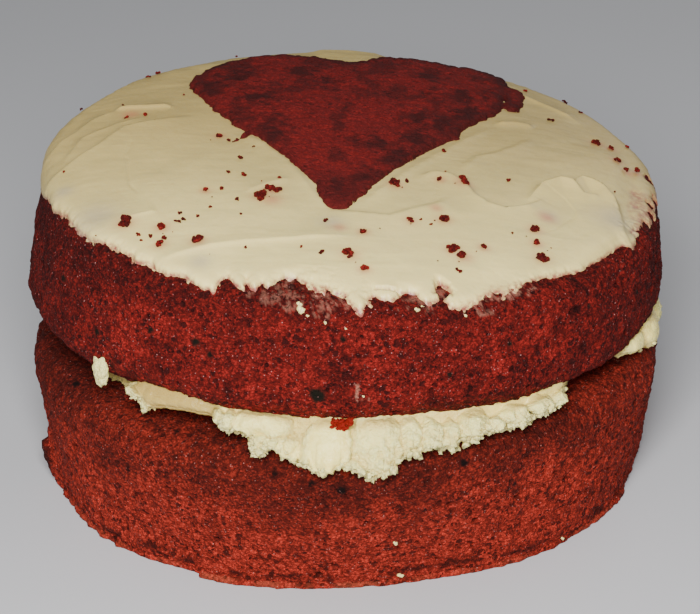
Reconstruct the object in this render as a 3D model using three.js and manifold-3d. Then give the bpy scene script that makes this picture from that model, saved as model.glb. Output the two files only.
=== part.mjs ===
// Red velvet cake: two round sponge layers, a buttercream filling that bulges out between them,
// a skin of icing over the top and a thin heart of crust pressed into the icing.
// Millimetres, +Z up, the side with the point of the heart faces -Y.
import * as THREE from "three";
import Module from "manifold-3d";

const wasm = await Module();
wasm.setup();

// Sizes of the layers
const TIN_RADIUS = 100;
const GAP = 0.35;

// The foot is tucked in at the front and steps out beside it: middle and width in degrees, mm
const FOOT_TUCKS = [
  [-84, 24, -3.4],
  [-122, 7, 0.9],
  [-152, 16, 0.8],
];

const LOWER = {
  baseRadius: 93.5,
  footOut: 1.6,
  footHigh: 2.6,
  widestHigh: 39.3,
  shoulder: 9.05,
  dome: 2.6,
};

const UPPER = {
  widest: 99.5,
  widestHigh: 66.35,
  widestTilt: [-0.03, 0.01],
  widestCentre: [1.1, 0.3],
  shoulder: 8.85,
  underDome: 2.4,
  rimRadius: 96.0,
  rimHigh: 97.3,
  rimTilt: [-0.073, 0.064],
  rimCentre: [3.8, 0],
  rimRound: 5.3,
  dome: 7.6,
};

const ICING = { middle: 2.3, atRim: 1.5, atEdge: 0.7 };
const HEART = { deep: 1.2, proud: 1.3, round: 1.4, sideGap: 0.45 };

// How finely round the layers are cut
const ROUND_SPONGE = 72;
const ROUND_FILLING = 100;
const ROUND_ICING = 104;

const deg = (angle) => (angle * Math.PI) / 180;
const mix = (a, b, t) => a + (b - a) * t;
const clamp01 = (t) => Math.min(1, Math.max(0, t));
const smooth = (t) => clamp01(t) * clamp01(t) * (3 - 2 * clamp01(t));

// A random number generator that starts the same way each time
function seeded(seed) {
  let state = seed;
  return () => {
    state = (state * 1664525 + 1013904223) % 4294967296;
    return state / 4294967296;
  };
}

// Soft unevenness of a baked side: a few waves round and up the wall
function uneven(angle, high, phase) {
  return (
    0.45 * Math.sin(3 * angle + phase) +
    0.3 * Math.sin(7 * angle - 0.06 * high + 2 * phase) +
    0.25 * Math.sin(13 * angle + 0.11 * high + 3 * phase)
  );
}

// A bump round the cake: its middle and width in degrees, its size in mm
function bump(angle, [middle, width, size]) {
  let away = (angle * 180) / Math.PI - middle;
  away -= 360 * Math.round(away / 360);
  return size * Math.exp(-((away / width) ** 2));
}

const bumps = (angle, list) => list.reduce((sum, b) => sum + bump(angle, b), 0);

// Profile of the lower layer, from the middle of its top (station 0) to the foot.
// Stations: 0-1 top, 1-2 rounded shoulder, 2-3 wall.
function lowerProfile(station) {
  const flat = TIN_RADIUS - LOWER.shoulder;
  const top = LOWER.widestHigh + LOWER.shoulder;
  const level = { centre: [0.8, 0], tilt: [0, 0.002] };
  if (station <= 1) {
    const r = flat * station;
    return { r, z: top + LOWER.dome * (1 - station ** 2), ...level };
  }
  if (station <= 2) {
    const t = (station - 1) * (Math.PI / 2);
    return {
      r: flat + LOWER.shoulder * Math.sin(t),
      z: LOWER.widestHigh + LOWER.shoulder * Math.cos(t),
      ...level,
    };
  }
  const t = station - 2;
  return {
    r: mix(TIN_RADIUS, LOWER.baseRadius, t ** 1.15),
    z: mix(LOWER.widestHigh, 0, t),
    ...level,
  };
}

// Height of the upper layer's top above the plane of its rim
function topRise(r) {
  const past = Math.min(Math.max(r - (UPPER.rimRadius - UPPER.rimRound), 0), UPPER.rimRound);
  const drop = UPPER.rimRound - Math.sqrt(Math.max(UPPER.rimRound ** 2 - past ** 2, 0));
  return UPPER.dome * (1 - Math.min(r / UPPER.rimRadius, 1) ** 3) - drop;
}

// Profile of the upper layer, from the middle of its top to the middle of its underside.
// Stations: 0-1 top, 1-2 rounded rim, 2-3 wall, 3-4 rounded shoulder, 4-5 underside.
function upperProfile(station) {
  const rimFlat = UPPER.rimRadius - UPPER.rimRound;
  const rim = { centre: UPPER.rimCentre, tilt: UPPER.rimTilt };
  const low = { centre: UPPER.widestCentre, tilt: UPPER.widestTilt };
  if (station <= 2) {
    const t = Math.max(station - 1, 0) * (Math.PI / 2);
    const r = station <= 1 ? rimFlat * station : rimFlat + UPPER.rimRound * Math.sin(t);
    return { r, z: UPPER.rimHigh + topRise(r), ...rim };
  }
  if (station <= 3) {
    const t = station - 2;
    return {
      r: mix(UPPER.rimRadius, UPPER.widest, t) + 0.5 * Math.sin(Math.PI * t),
      z: mix(UPPER.rimHigh - UPPER.rimRound, UPPER.widestHigh, t),
      centre: [0, 1].map((i) => mix(rim.centre[i], low.centre[i], t)),
      tilt: [0, 1].map((i) => mix(rim.tilt[i], low.tilt[i], t)),
    };
  }
  if (station <= 4) {
    const t = (station - 3) * (Math.PI / 2);
    return {
      r: UPPER.widest - UPPER.shoulder * (1 - Math.cos(t)),
      z: UPPER.widestHigh - UPPER.shoulder * Math.sin(t),
      ...low,
    };
  }
  const t = 5 - station;
  return {
    r: (UPPER.widest - UPPER.shoulder) * t,
    z: UPPER.widestHigh - UPPER.shoulder - UPPER.underDome * (1 - t ** 2),
    ...low,
  };
}

// A point on a profile turned to an angle and moved out along the normal.
// The unevenness fades in from the shoulder, so that tops and undersides stay smooth.
function skin(profile, phase, fade, station, angle, out = 0) {
  const p = profile(station);
  const before = profile(Math.max(station - 0.01, 0));
  const after = profile(station + 0.01 <= profile.last ? station + 0.01 : profile.last);
  const along = Math.hypot(after.r - before.r, after.z - before.z) || 1;
  const normalR = -(after.z - before.z) / along;
  const normalZ = (after.r - before.r) / along;
  const r = p.r + normalR * out + fade(station) * uneven(angle, p.z, phase);
  const x = p.centre[0] + r * Math.cos(angle);
  const y = p.centre[1] + r * Math.sin(angle);
  return [x, y, p.z + normalZ * out + p.tilt[0] * x + p.tilt[1] * y];
}

lowerProfile.last = 3;
upperProfile.last = 5;
const lowerFade = (station) => smooth(station - 0.6);
const upperFade = (station) => smooth(station - 0.6) * smooth(4.6 - station);
const LOWER_PHASE = 0.7;
const UPPER_PHASE = 2.9;
const onLower = (...place) => skin(lowerProfile, LOWER_PHASE, lowerFade, ...place);
const onUpper = (...place) => skin(upperProfile, UPPER_PHASE, upperFade, ...place);

// A closed solid from rings of points, each ring as long as the others,
// from the middle of the top, out, down and back to the middle of the bottom
function solidOfRings(top, rings, bottom) {
  const round = rings[0].length;
  const points = [...top, ...rings.flat(2), ...bottom];
  const faces = [];
  const last = rings.length * round + 1;
  const at = (ring, i) => 1 + ring * round + (i % round);
  for (let i = 0; i < round; i++) {
    faces.push(0, at(0, i), at(0, i + 1));
    for (let ring = 0; ring + 1 < rings.length; ring++) {
      faces.push(at(ring, i), at(ring + 1, i), at(ring + 1, i + 1));
      faces.push(at(ring, i), at(ring + 1, i + 1), at(ring, i + 1));
    }
    faces.push(at(rings.length - 1, i), last, at(rings.length - 1, i + 1));
  }
  const mesh = new wasm.Mesh({
    numProp: 3,
    vertProperties: new Float32Array(points),
    triVerts: new Uint32Array(faces),
  });
  return new wasm.Manifold(mesh);
}

const anglesOf = (round) => Array.from({ length: round }, (_, i) => (2 * Math.PI * i) / round);
const ringOf = (round, point) => anglesOf(round).map(point);

// Lower layer: domed top, rounded shoulder, tapered wall and a thin ragged foot.
// Grown by a distance, it cuts the room that it needs out of its neighbour.
function lowerSponge(grown = 0) {
  const stations = [0.45, 0.78, 1, 1.33, 1.67, 2, 2.3, 2.6, 2.9];
  const tucked = (point, angle, share) => {
    const grow = 1 + (share * bumps(angle, FOOT_TUCKS)) / LOWER.baseRadius;
    return [point[0] * grow, point[1] * grow, point[2]];
  };
  const rings = stations.map((s) =>
    ringOf(ROUND_SPONGE, (angle) => tucked(onLower(s, angle, grown), angle, smooth(s - 2))),
  );
  const foot = (high, out) =>
    ringOf(ROUND_SPONGE, (angle) => {
      const [x, y] = tucked(onLower(3, angle, grown), angle, 1);
      const ragged = 0.5 + 0.35 * Math.sin(9 * angle) + 0.3 * Math.sin(17 * angle + 2);
      const grow = 1 + (out * ragged) / LOWER.baseRadius;
      return [x * grow, y * grow, high];
    });
  rings.push(foot(LOWER.footHigh, 0.3), foot(LOWER.footHigh * 0.7, LOWER.footOut));
  rings.push(foot(0, LOWER.footOut * 0.8));
  return solidOfRings(onLower(0, 0, grown), rings, [0.8, 0, 0]);
}

// Upper layer, baked dome down: a rounded rim, a wall and a rounded shoulder
function upperSponge(grown = 0) {
  const stations = [0.4, 0.72, 0.91, 1, 1.4, 1.7, 2, 2.35, 2.7, 3, 3.35, 3.7, 4, 4.5];
  const rings = stations.map((s) => ringOf(ROUND_SPONGE, (angle) => onUpper(s, angle, grown)));
  return solidOfRings(onUpper(0, 0, grown), rings, onUpper(5, 0, grown));
}

// Filling: how far it reaches round the cake, and how it sags over the lower shoulder
const FILLING_HIDDEN = 84;
const FILLING_REACH = [
  [-122, 9, 6],
  [-103, 6, 10],
  [-97, 5, 6],
  [-88, 8, 13],
  [-78, 6, 6],
  [-64, 12, 12],
  [-49, 6, 9],
  [-21, 6, 15],
  [-7, 8, 16],
  [60, 25, 6],
  [150, 30, 5],
];
const FILLING_SAG = [
  [-104, 3, 2],
  [-95, 4, 10],
  [-84, 6, 15],
  [-74, 4, 4],
  [-62, 8, 2],
];
// A dab squeezed out alone under the upper layer: its angle, from and to radius, height and width
const DAB = { angle: -136.5, from: 83, to: 102.5, high: 62.5, wide: 8, tall: 13 };

function fillingReach(angle) {
  const lumps =
    0.7 * Math.sin(19 * angle) + 0.6 * Math.sin(31 * angle + 1) + 0.5 * Math.sin(43 * angle + 2);
  return Math.min(FILLING_HIDDEN + bumps(angle, FILLING_REACH) + lumps, 101.6 + 0.6 * lumps);
}

// The station of a profile's flat or shoulder at a radius, short of its widest place
function stationAt(radius, flat, round, first) {
  if (radius <= flat) return first === 1 ? radius / flat : 5 - radius / flat;
  const t = Math.asin(Math.min((radius - flat) / round, 1)) / (Math.PI / 2);
  return first === 1 ? 1 + t : 4 - t;
}

// Its bulging side, closed inside the two layers, which then cut their room out of it
function filling() {
  const lowStation = (angle) => {
    const reach = Math.min(fillingReach(angle), TIN_RADIUS - 1.2);
    const flat = TIN_RADIUS - LOWER.shoulder;
    return stationAt(reach, flat, LOWER.shoulder, 1) + 0.03 * bumps(angle, FILLING_SAG);
  };
  const highStation = (angle) => {
    const reach = Math.min(fillingReach(angle) - 0.5, UPPER.widest - 2.3);
    return stationAt(reach, UPPER.widest - UPPER.shoulder, UPPER.shoulder, 4);
  };
  const inside = (point) => ringOf(ROUND_FILLING, point);
  const bulge = (rise, lump) =>
    ringOf(ROUND_FILLING, (angle) => {
      const from = onLower(lowStation(angle), angle, GAP);
      const to = onUpper(highStation(angle), angle, GAP);
      const full = 1.6 + 0.14 * bumps(angle, FILLING_SAG);
      const rough = lump * Math.sin(23 * angle + 5 * rise) * smooth((fillingReach(angle) - 88) / 8);
      const out = Math.sin(Math.PI * clamp01(rise)) * full + rough;
      return [
        mix(from[0], to[0], rise) + out * Math.cos(angle),
        mix(from[1], to[1], rise) + out * Math.sin(angle),
        mix(from[2], to[2], rise),
      ];
    });
  const sunk = -1.5;
  const rings = [
    inside((angle) => onUpper(4.5, angle, sunk)),
    inside((angle) => onUpper(highStation(angle), angle, sunk)),
    bulge(0.95, 0.1),
    bulge(0.72, 0.5),
    bulge(0.45, 0.7),
    bulge(0.2, 0.5),
    bulge(0.03, 0.1),
    inside((angle) => onLower(lowStation(angle), angle, sunk)),
    inside((angle) => onLower(0.5, angle, sunk)),
  ];
  const lump = solidOfRings(onUpper(5, 0, sunk), rings, onLower(0, 0, sunk));
  const dab = new wasm.Manifold.sphere(0.5, 12)
    .scale([DAB.to - DAB.from, DAB.wide, DAB.tall])
    .rotate([0, 12, 0])
    .translate([(DAB.from + DAB.to) / 2, 0, DAB.high])
    .rotate([0, 0, DAB.angle]);
  const made = lump.add(dab).subtract(lowerSponge(GAP)).subtract(upperSponge(GAP));
  return largest(made);
}

// The main body of a cut solid, without scraps
function largest(solid) {
  return solid.decompose().reduce((a, b) => (a.volume() > b.volume() ? a : b));
}

// Icing: how far its ragged edge runs past the start of the rounded rim
const ICING_EDGE = 3.0;
const ICING_DRIPS = [
  [180, 14, 4],
  [-158, 3, 3],
  [-146, 8, 1.5],
  [-115, 1.5, 1.2],
  [-112, 2, -1.5],
  [-102, 5, -6.5],
  [-89, 1.3, 3.5],
  [-84, 5, -1.6],
  [-78, 1.3, 2],
  [-68, 8, 1.2],
  [-28, 3, -2],
  [-8, 8, 4],
  [40, 30, 1.5],
  [120, 25, 2],
];

function icingEdge(angle) {
  const ragged =
    0.35 * Math.sin(29 * angle) + 0.3 * Math.sin(47 * angle + 1) + 0.4 * Math.sin(11 * angle + 2);
  const past = ICING_EDGE + bumps(angle, ICING_DRIPS) + ragged;
  const quarter = (Math.PI / 2) * UPPER.rimRound;
  if (past < 0) return 1 + past / (UPPER.rimRadius - UPPER.rimRound);
  if (past < quarter) return 1 + past / quarter;
  return 2 + (past - quarter) / 26;
}

// The icing is closed inside the sponge, which then cuts its room out of it.
// Marks of the knife: each runs through its points with a width and a height
const KNIFE_MARKS = [
  { through: [[-52, -74], [-32, -68], [-14, -65], [6, -62]], width: 4.5, high: 0.9 },
  { through: [[-64, 6], [-66, -15], [-61, -36]], width: 4, high: 0.6 },
  { through: [[-70, 32], [-54, 22]], width: 4, high: 0.7 },
  { through: [[0, -50], [14, -50], [26, -42]], width: 3.5, high: 0.6 },
  { through: [[24, -33], [40, -31], [44, -38], [56, -40], [63, -24], [73, -24]], width: 3.5, high: 0.8 },
  { through: [[73, -15], [82, -20], [86, -37], [80, -54]], width: 5.5, high: 1.9 },
  { through: [[-8, 86], [4, 88], [16, 86]], width: 6, high: 1.3 },
];

function awayFromPath([x, y], path) {
  let least = Infinity;
  for (let i = 0; i + 1 < path.length; i++) {
    const [ax, ay] = path[i];
    const [bx, by] = path[i + 1];
    const along = (x - ax) * (bx - ax) + (y - ay) * (by - ay);
    const t = clamp01(along / ((bx - ax) ** 2 + (by - ay) ** 2));
    least = Math.min(least, Math.hypot(x - mix(ax, bx, t), y - mix(ay, by, t)));
  }
  return least;
}

function icingRelief(x, y) {
  const wave = 0.3 * Math.sin(0.09 * x + 1) * Math.cos(0.08 * y) + 0.2 * Math.sin(0.17 * x - 0.12 * y);
  const marks = KNIFE_MARKS.reduce(
    (sum, m) => sum + m.high * Math.exp(-((awayFromPath([x, y], m.through) / m.width) ** 2)),
    0,
  );
  return wave + marks;
}

// Thickness of the icing, less toward the rim and least at its ragged edge
function icingBody(station) {
  return mix(ICING.middle, ICING.atRim, smooth((station - 0.7) / 0.6));
}

function icingThickness(station, edge) {
  return mix(icingBody(station), ICING.atEdge, smooth((station / edge - 0.93) / 0.07));
}

function icingTop(station, angle, edge) {
  const [x, y] = onUpper(station, angle);
  const thick = icingThickness(station, edge);
  const relief = icingRelief(x, y) * smooth((edge - station) / 0.12);
  return onUpper(station, angle, GAP + Math.max(thick + relief, ICING.atEdge));
}

// Rings lie evenly over the top, and beyond the last even one they close up to the ragged edge
const EVEN_RINGS = [0.11, 0.22, 0.33, 0.43, 0.53, 0.62, 0.71, 0.79];
const EDGE_RINGS = [0.35, 0.65, 0.9, 1];

function icingSkin() {
  const evenEnd = EVEN_RINGS[EVEN_RINGS.length - 1];
  const outer = [
    ...EVEN_RINGS.map((s) => ringOf(ROUND_ICING, (angle) => icingTop(s, angle, 1.5))),
    ...EDGE_RINGS.map((k) =>
      ringOf(ROUND_ICING, (angle) => {
        const edge = icingEdge(angle);
        return icingTop(mix(evenEnd, edge, k), angle, edge);
      }),
    ),
  ];
  const sunk = -1.5;
  const inner = [1, 0.88, 0.5].map((k) =>
    ringOf(ROUND_ICING, (angle) => onUpper(k * icingEdge(angle), angle, sunk)),
  );
  return solidOfRings(icingTop(0, 0, 1.5), [...outer, ...inner], onUpper(0, 0, sunk));
}

// Height of the smooth icing over a place on the top
function icingLevel(x, y) {
  const r = Math.hypot(x - UPPER.rimCentre[0], y - UPPER.rimCentre[1]);
  const plane = UPPER.rimHigh + UPPER.rimTilt[0] * x + UPPER.rimTilt[1] * y;
  return plane + topRise(r) + GAP + icingBody(r / (UPPER.rimRadius - UPPER.rimRound));
}

// Heart: half outlines from the notch to the point, torn edges as on the real one
const HEART_OUTLINE = [
  [4, 71],
  [-6, 75],
  [-18, 79],
  [-31, 75],
  [-43, 62],
  [-48, 47],
  [-42, 28],
  [-32, 10],
  [-19, -9],
  [-15, -17],
  [-8, -30],
  [-5, -42],
  [0, -47],
  [7, -38],
  [13, -26],
  [24, -10],
  [37, 8],
  [41, 16],
  [49, 27],
  [54, 42],
  [61, 45],
  [63, 50],
  [60, 54],
  [56, 56],
  [57, 66],
  [49, 77],
  [38, 81],
  [26, 82],
  [16, 79],
  [9, 73],
];
const HEART_STEPS = 72;

// The outline run through by a smooth curve, with a fine torn edge, moved out by a distance
function heartOutline(out) {
  const curve = new THREE.CatmullRomCurve3(
    HEART_OUTLINE.map(([x, y]) => new THREE.Vector3(x, y, 0)),
    true,
    "catmullrom",
    0.5,
  );
  const points = curve.getSpacedPoints(HEART_STEPS).slice(0, HEART_STEPS);
  return points.map((p, i) => {
    const next = points[(i + 1) % HEART_STEPS];
    const last = points[(i + HEART_STEPS - 1) % HEART_STEPS];
    const side = new THREE.Vector3(next.y - last.y, last.x - next.x, 0).normalize();
    const torn = 0.4 * Math.sin(i * 1.9) + 0.3 * Math.sin(i * 0.83 + 1);
    return [p.x + side.x * (torn + out), p.y + side.y * (torn + out)];
  });
}

function heartRing(outline, shrink, high, centre) {
  return outline.map(([x, y]) => {
    const px = centre[0] + (x - centre[0]) * shrink;
    const py = centre[1] + (y - centre[1]) * shrink;
    return [px, py, icingLevel(px, py) + high];
  });
}

// The heart as a slab that follows the top: from its own thickness, or as the hole for it
function heartSlab(grow, bottom, top, round) {
  const centre = [4, 30];
  const edge = heartOutline(grow);
  const soft = heartOutline(grow - round * 0.9);
  const softer = heartOutline(grow - round * 0.35);
  const level = [...centre, icingLevel(...centre)];
  const rings = [
    heartRing(soft, 0.4, top, centre),
    heartRing(soft, 0.75, top, centre),
    heartRing(soft, 1, top - round * 0.1, centre),
    heartRing(softer, 1, top - round * 0.45, centre),
    heartRing(edge, 1, top - round, centre),
    heartRing(edge, 1, bottom, centre),
    heartRing(edge, 0.75, bottom, centre),
    heartRing(edge, 0.4, bottom, centre),
  ];
  return solidOfRings([level[0], level[1], level[2] + top], rings, [
    level[0],
    level[1],
    level[2] + bottom,
  ]);
}

// Crumbs that fell on the icing. The largest lie at named places, with their width in mm.
const LARGE_CRUMBS = [
  [-63, -53, 4.6],
  [-52, -57, 3.6],
  [-41, -66, 4.0],
  [-22, -40, 4.8],
  [3, -72, 4.0],
  [31, -50, 3.4],
  [34, -67, 5.4],
  [38, -27, 3.4],
  [58, -51, 3.2],
  [58, -63, 3.4],
  [17, -29, 3.0],
  [-37, 3, 2.8],
  [83, 19, 3.0],
  [88, 8, 2.8],
];
// Patches where smaller ones lie thick: middle, spread and how many
const CRUMB_PATCHES = [
  { middle: [-50, -55], spread: [9, 9], count: 5 },
  { middle: [-28, -42], spread: [12, 8], count: 3 },
  { middle: [46, -44], spread: [12, 14], count: 4 },
  { middle: [90, 2], spread: [3, 10], count: 3 },
];

function crumbPlaces() {
  const draw = seeded(41);
  const small = CRUMB_PATCHES.flatMap(({ middle, spread, count }) =>
    Array.from({ length: count }, () => [
      middle[0] + spread[0] * (draw() + draw() - 1),
      middle[1] + spread[1] * (draw() + draw() - 1),
      2 + draw() * 0.7,
    ]),
  );
  return [...LARGE_CRUMBS, ...small];
}

// A crumb is a rough lump of twenty faces, sunk by a third into the icing
function crumb([x, y, wide], draw) {
  const lump = new THREE.IcosahedronGeometry(wide / 2, 0);
  const place = lump.getAttribute("position");
  const seen = new Map();
  const points = [];
  const faces = [];
  for (let i = 0; i < place.count; i++) {
    const v = new THREE.Vector3().fromBufferAttribute(place, i);
    const key = v.toArray().map((c) => c.toFixed(3)).join();
    if (!seen.has(key)) {
      seen.set(key, points.length / 3);
      const rough = 0.8 + 0.4 * draw();
      points.push(v.x * rough, v.y * rough, v.z * rough * 0.72);
    }
    faces.push(seen.get(key));
  }
  const mesh = new wasm.Mesh({
    numProp: 3,
    vertProperties: new Float32Array(points),
    triVerts: new Uint32Array(faces),
  });
  const level = icingLevel(x, y) + icingRelief(x, y) + wide * 0.04;
  return new wasm.Manifold(mesh).rotate([0, 0, 360 * draw()]).translate([x, y, level]);
}

function icing() {
  const draw = seeded(7);
  const crumbs = crumbPlaces().map((place) => crumb(place, draw));
  const hole = heartSlab(HEART.sideGap, -HEART.deep - GAP, 12, 1);
  const body = icingSkin().subtract(upperSponge(GAP)).subtract(hole);
  return wasm.Manifold.union([largest(body), ...crumbs]);
}

// Names, colours and the group
const COLOURS = {
  lower_sponge: 0x6e2418,
  filling: 0xe6e0c4,
  upper_sponge: 0x6a1a16,
  icing: 0xdcd4b4,
  heart: 0x5e1814,
};

function meshOf(name, solid) {
  const { vertProperties, triVerts } = solid.getMesh();
  const geometry = new THREE.BufferGeometry();
  geometry.setAttribute("position", new THREE.BufferAttribute(vertProperties, 3));
  geometry.setIndex(new THREE.BufferAttribute(triVerts, 1));
  geometry.computeVertexNormals();
  const mesh = new THREE.Mesh(
    geometry,
    new THREE.MeshStandardMaterial({ color: COLOURS[name], roughness: 0.8 }),
  );
  mesh.name = name;
  return mesh;
}

// Everything moved together so that the cake stands centred on the floor
function cake() {
  const solids = {
    lower_sponge: lowerSponge(),
    filling: filling(),
    upper_sponge: upperSponge(),
    icing: icing(),
    heart: heartSlab(0, -HEART.deep, HEART.proud, HEART.round),
  };
  const all = new THREE.Box3();
  Object.values(solids).forEach((solid) => {
    const { min, max } = solid.boundingBox();
    all.expandByPoint(new THREE.Vector3(...min));
    all.expandByPoint(new THREE.Vector3(...max));
  });
  const middle = all.getCenter(new THREE.Vector3());
  const group = new THREE.Group();
  group.name = "red_velvet_cake";
  Object.entries(solids).forEach(([name, solid]) =>
    group.add(meshOf(name, solid.translate([-middle.x, -middle.y, -all.min.z]))),
  );
  return group;
}

export default cake();
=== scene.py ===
"""Red velvet cake: the detailed look of each layer, the filling, the icing, the heart and the crumbs.

Shapes are worked out in millimetres round the middle of the lower layer, and moved to the frame in metres.
"""

import math

import bpy
import numpy as np
from bpy.props import FloatProperty, FloatVectorProperty, IntProperty, PointerProperty
from mathutils import Matrix, Vector


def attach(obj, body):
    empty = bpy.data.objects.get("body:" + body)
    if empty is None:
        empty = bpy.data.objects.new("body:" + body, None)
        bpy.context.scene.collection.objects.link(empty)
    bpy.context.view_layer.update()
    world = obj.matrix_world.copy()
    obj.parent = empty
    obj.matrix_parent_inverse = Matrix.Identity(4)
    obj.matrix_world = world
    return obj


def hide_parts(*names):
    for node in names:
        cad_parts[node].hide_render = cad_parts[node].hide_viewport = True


bl_info = {
    "name": "Red velvet cake",
    "version": (1, 0, 0),
    "blender": (4, 5, 0),
    "location": "3D View > Sidebar > Cake",
    "description": "Builds a red velvet layer cake round its packed frame",
    "category": "Object",
}

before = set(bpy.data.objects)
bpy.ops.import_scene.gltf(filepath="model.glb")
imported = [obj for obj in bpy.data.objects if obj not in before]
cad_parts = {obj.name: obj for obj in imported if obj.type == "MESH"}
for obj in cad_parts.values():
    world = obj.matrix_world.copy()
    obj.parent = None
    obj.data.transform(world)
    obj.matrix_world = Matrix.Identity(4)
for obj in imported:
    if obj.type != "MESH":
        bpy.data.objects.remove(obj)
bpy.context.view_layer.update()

# Middle of the frame's floor in the layers' own coordinates, mm
CENTRE = (0.90, -0.90)

# Lower layer, mm
TIN_RADIUS = 100.0
LOWER_SHOULDER = 9.05
LOWER_WIDEST = 39.3
LOWER_DOME = 2.6
LOWER_BASE = 93.5
LOWER_CENTRE = (0.8, 0.0)

# Upper layer, mm
UPPER_WIDEST = 99.5
UPPER_WIDEST_HIGH = 66.35
UPPER_SHOULDER = 8.85
UPPER_UNDER_DOME = 2.4
UPPER_LOW_TILT = (-0.03, 0.01)
UPPER_LOW_CENTRE = (1.1, 0.3)
RIM_RADIUS = 96.0
RIM_HIGH = 97.3
RIM_TILT = (-0.073, 0.064)
RIM_CENTRE = (3.8, 0.0)
RIM_ROUND = 5.3
TOP_DOME = 7.6

# Radius of the cake's side, on which distances round it are measured, mm
SIDE_RADIUS = 99.0
# Radius at which the noise of the filling's lip is read, mm
LIP_RADIUS = 97.0

# Camera that the photograph was taken with: place in mm, pitch and roll in radians, lens in mm
CAMERA_TARGET = (2.6, 0.0, 50.8)
CAMERA_FAR = 834.8
CAMERA_PITCH = 0.419
CAMERA_ROLL = -0.023
CAMERA_LENS = 133.7


# Plain maths
def mix(a, b, t):
    return a + (b - a) * t


def smooth(t):
    t = np.clip(t, 0.0, 1.0)
    return t * t * (3.0 - 2.0 * t)


def degrees_past(angle, middle=0.0):
    """How far an angle lies past a middle in degrees, from -180 to 180."""
    return (np.degrees(angle) - middle + 180.0) % 360.0 - 180.0


def round_side(angle, middle):
    """How far round the cake's side an angle lies past a middle in degrees, in mm."""
    return degrees_past(angle, middle) * math.radians(SIDE_RADIUS)


def bump_sum(angle, bumps):
    """Sum of bumps round the cake, each its middle and width in degrees and its size."""
    total = np.zeros_like(angle)
    for middle, width, size in bumps:
        total += size * np.exp(-((degrees_past(angle, middle) / width) ** 2))
    return total


# Noise over points in mm
def hashed(cell, salt):
    """A number from 0 to 1 for each whole-numbered cell."""
    h = cell[..., 0] * 73856093 ^ cell[..., 1] * 19349663 ^ cell[..., 2] * 83492791 ^ salt * 97531357
    h = h & 0xFFFFFFFF
    h = ((h ^ (h >> 15)) * 2246822519) & 0xFFFFFFFF
    h = ((h ^ (h >> 13)) * 3266489917) & 0xFFFFFFFF
    return (h ^ (h >> 16)) / 4294967296.0


def soft_noise(points, size, salt):
    """Smooth noise from -1 to 1 with blobs of about that size."""
    p = points / size
    cell = np.floor(p).astype(np.int64)
    t = p - cell
    t = t * t * t * (t * (t * 6.0 - 15.0) + 10.0)
    total = 0.0
    for corner in np.ndindex(2, 2, 2):
        weight = 1.0
        for axis in range(3):
            weight = weight * (t[..., axis] if corner[axis] else 1.0 - t[..., axis])
        total = total + weight * hashed(cell + np.array(corner), salt)
    return total * 2.0 - 1.0


def fractal(points, size, octaves, salt, keep=0.5):
    """Soft noise added up at ever smaller sizes."""
    total = 0.0
    weight = 1.0
    for octave in range(octaves):
        total = total + weight * soft_noise(points, size, salt + octave)
        size = size * 0.5
        weight = weight * keep
    return total


def cells(points, size, salt):
    """Distances in cells to a cell pattern's nearest and next seed, and the nearest seed's own number."""
    p = points / size
    base = np.floor(p).astype(np.int64)
    near = np.full(p.shape[:-1], 9.0)
    following = near.copy()
    own = np.zeros_like(near)
    for step in np.ndindex(3, 3, 3):
        cell = base + np.array(step) - 1
        seed = cell + np.stack([hashed(cell, salt + k) for k in (1, 2, 3)], -1)
        away = np.sqrt(((p - seed) ** 2).sum(-1))
        closer = away < near
        following = np.where(closer, near, np.minimum(following, away))
        own = np.where(closer, hashed(cell, salt + 4), own)
        near = np.minimum(near, away)
    return near, following, own


# Profiles of the two layers, as in the frame. A station says how far along the profile a point lies.
def lower_profile(s):
    """Stations 0-1 top, 1-2 rounded shoulder, 2-3 wall."""
    flat = TIN_RADIUS - LOWER_SHOULDER
    turn = np.clip(s - 1.0, 0.0, 1.0) * (math.pi / 2)
    down = np.clip(s - 2.0, 0.0, 1.0)
    r = np.where(s <= 1.0, flat * s, flat + LOWER_SHOULDER * np.sin(turn))
    r = np.where(s > 2.0, mix(TIN_RADIUS, LOWER_BASE, down**1.15), r)
    top = LOWER_WIDEST + LOWER_SHOULDER
    z = np.where(s <= 1.0, top + LOWER_DOME * (1.0 - s**2), LOWER_WIDEST + LOWER_SHOULDER * np.cos(turn))
    z = np.where(s > 2.0, mix(LOWER_WIDEST, 0.0, down), z)
    zero = np.zeros_like(s)
    return r, z, zero + LOWER_CENTRE[0], zero, zero, zero + 0.002


def top_rise(r):
    """Height of the upper layer's top above the plane of its rim."""
    past = np.clip(r - (RIM_RADIUS - RIM_ROUND), 0.0, RIM_ROUND)
    drop = RIM_ROUND - np.sqrt(np.maximum(RIM_ROUND**2 - past**2, 0.0))
    return TOP_DOME * (1.0 - np.minimum(r / RIM_RADIUS, 1.0) ** 3) - drop


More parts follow.
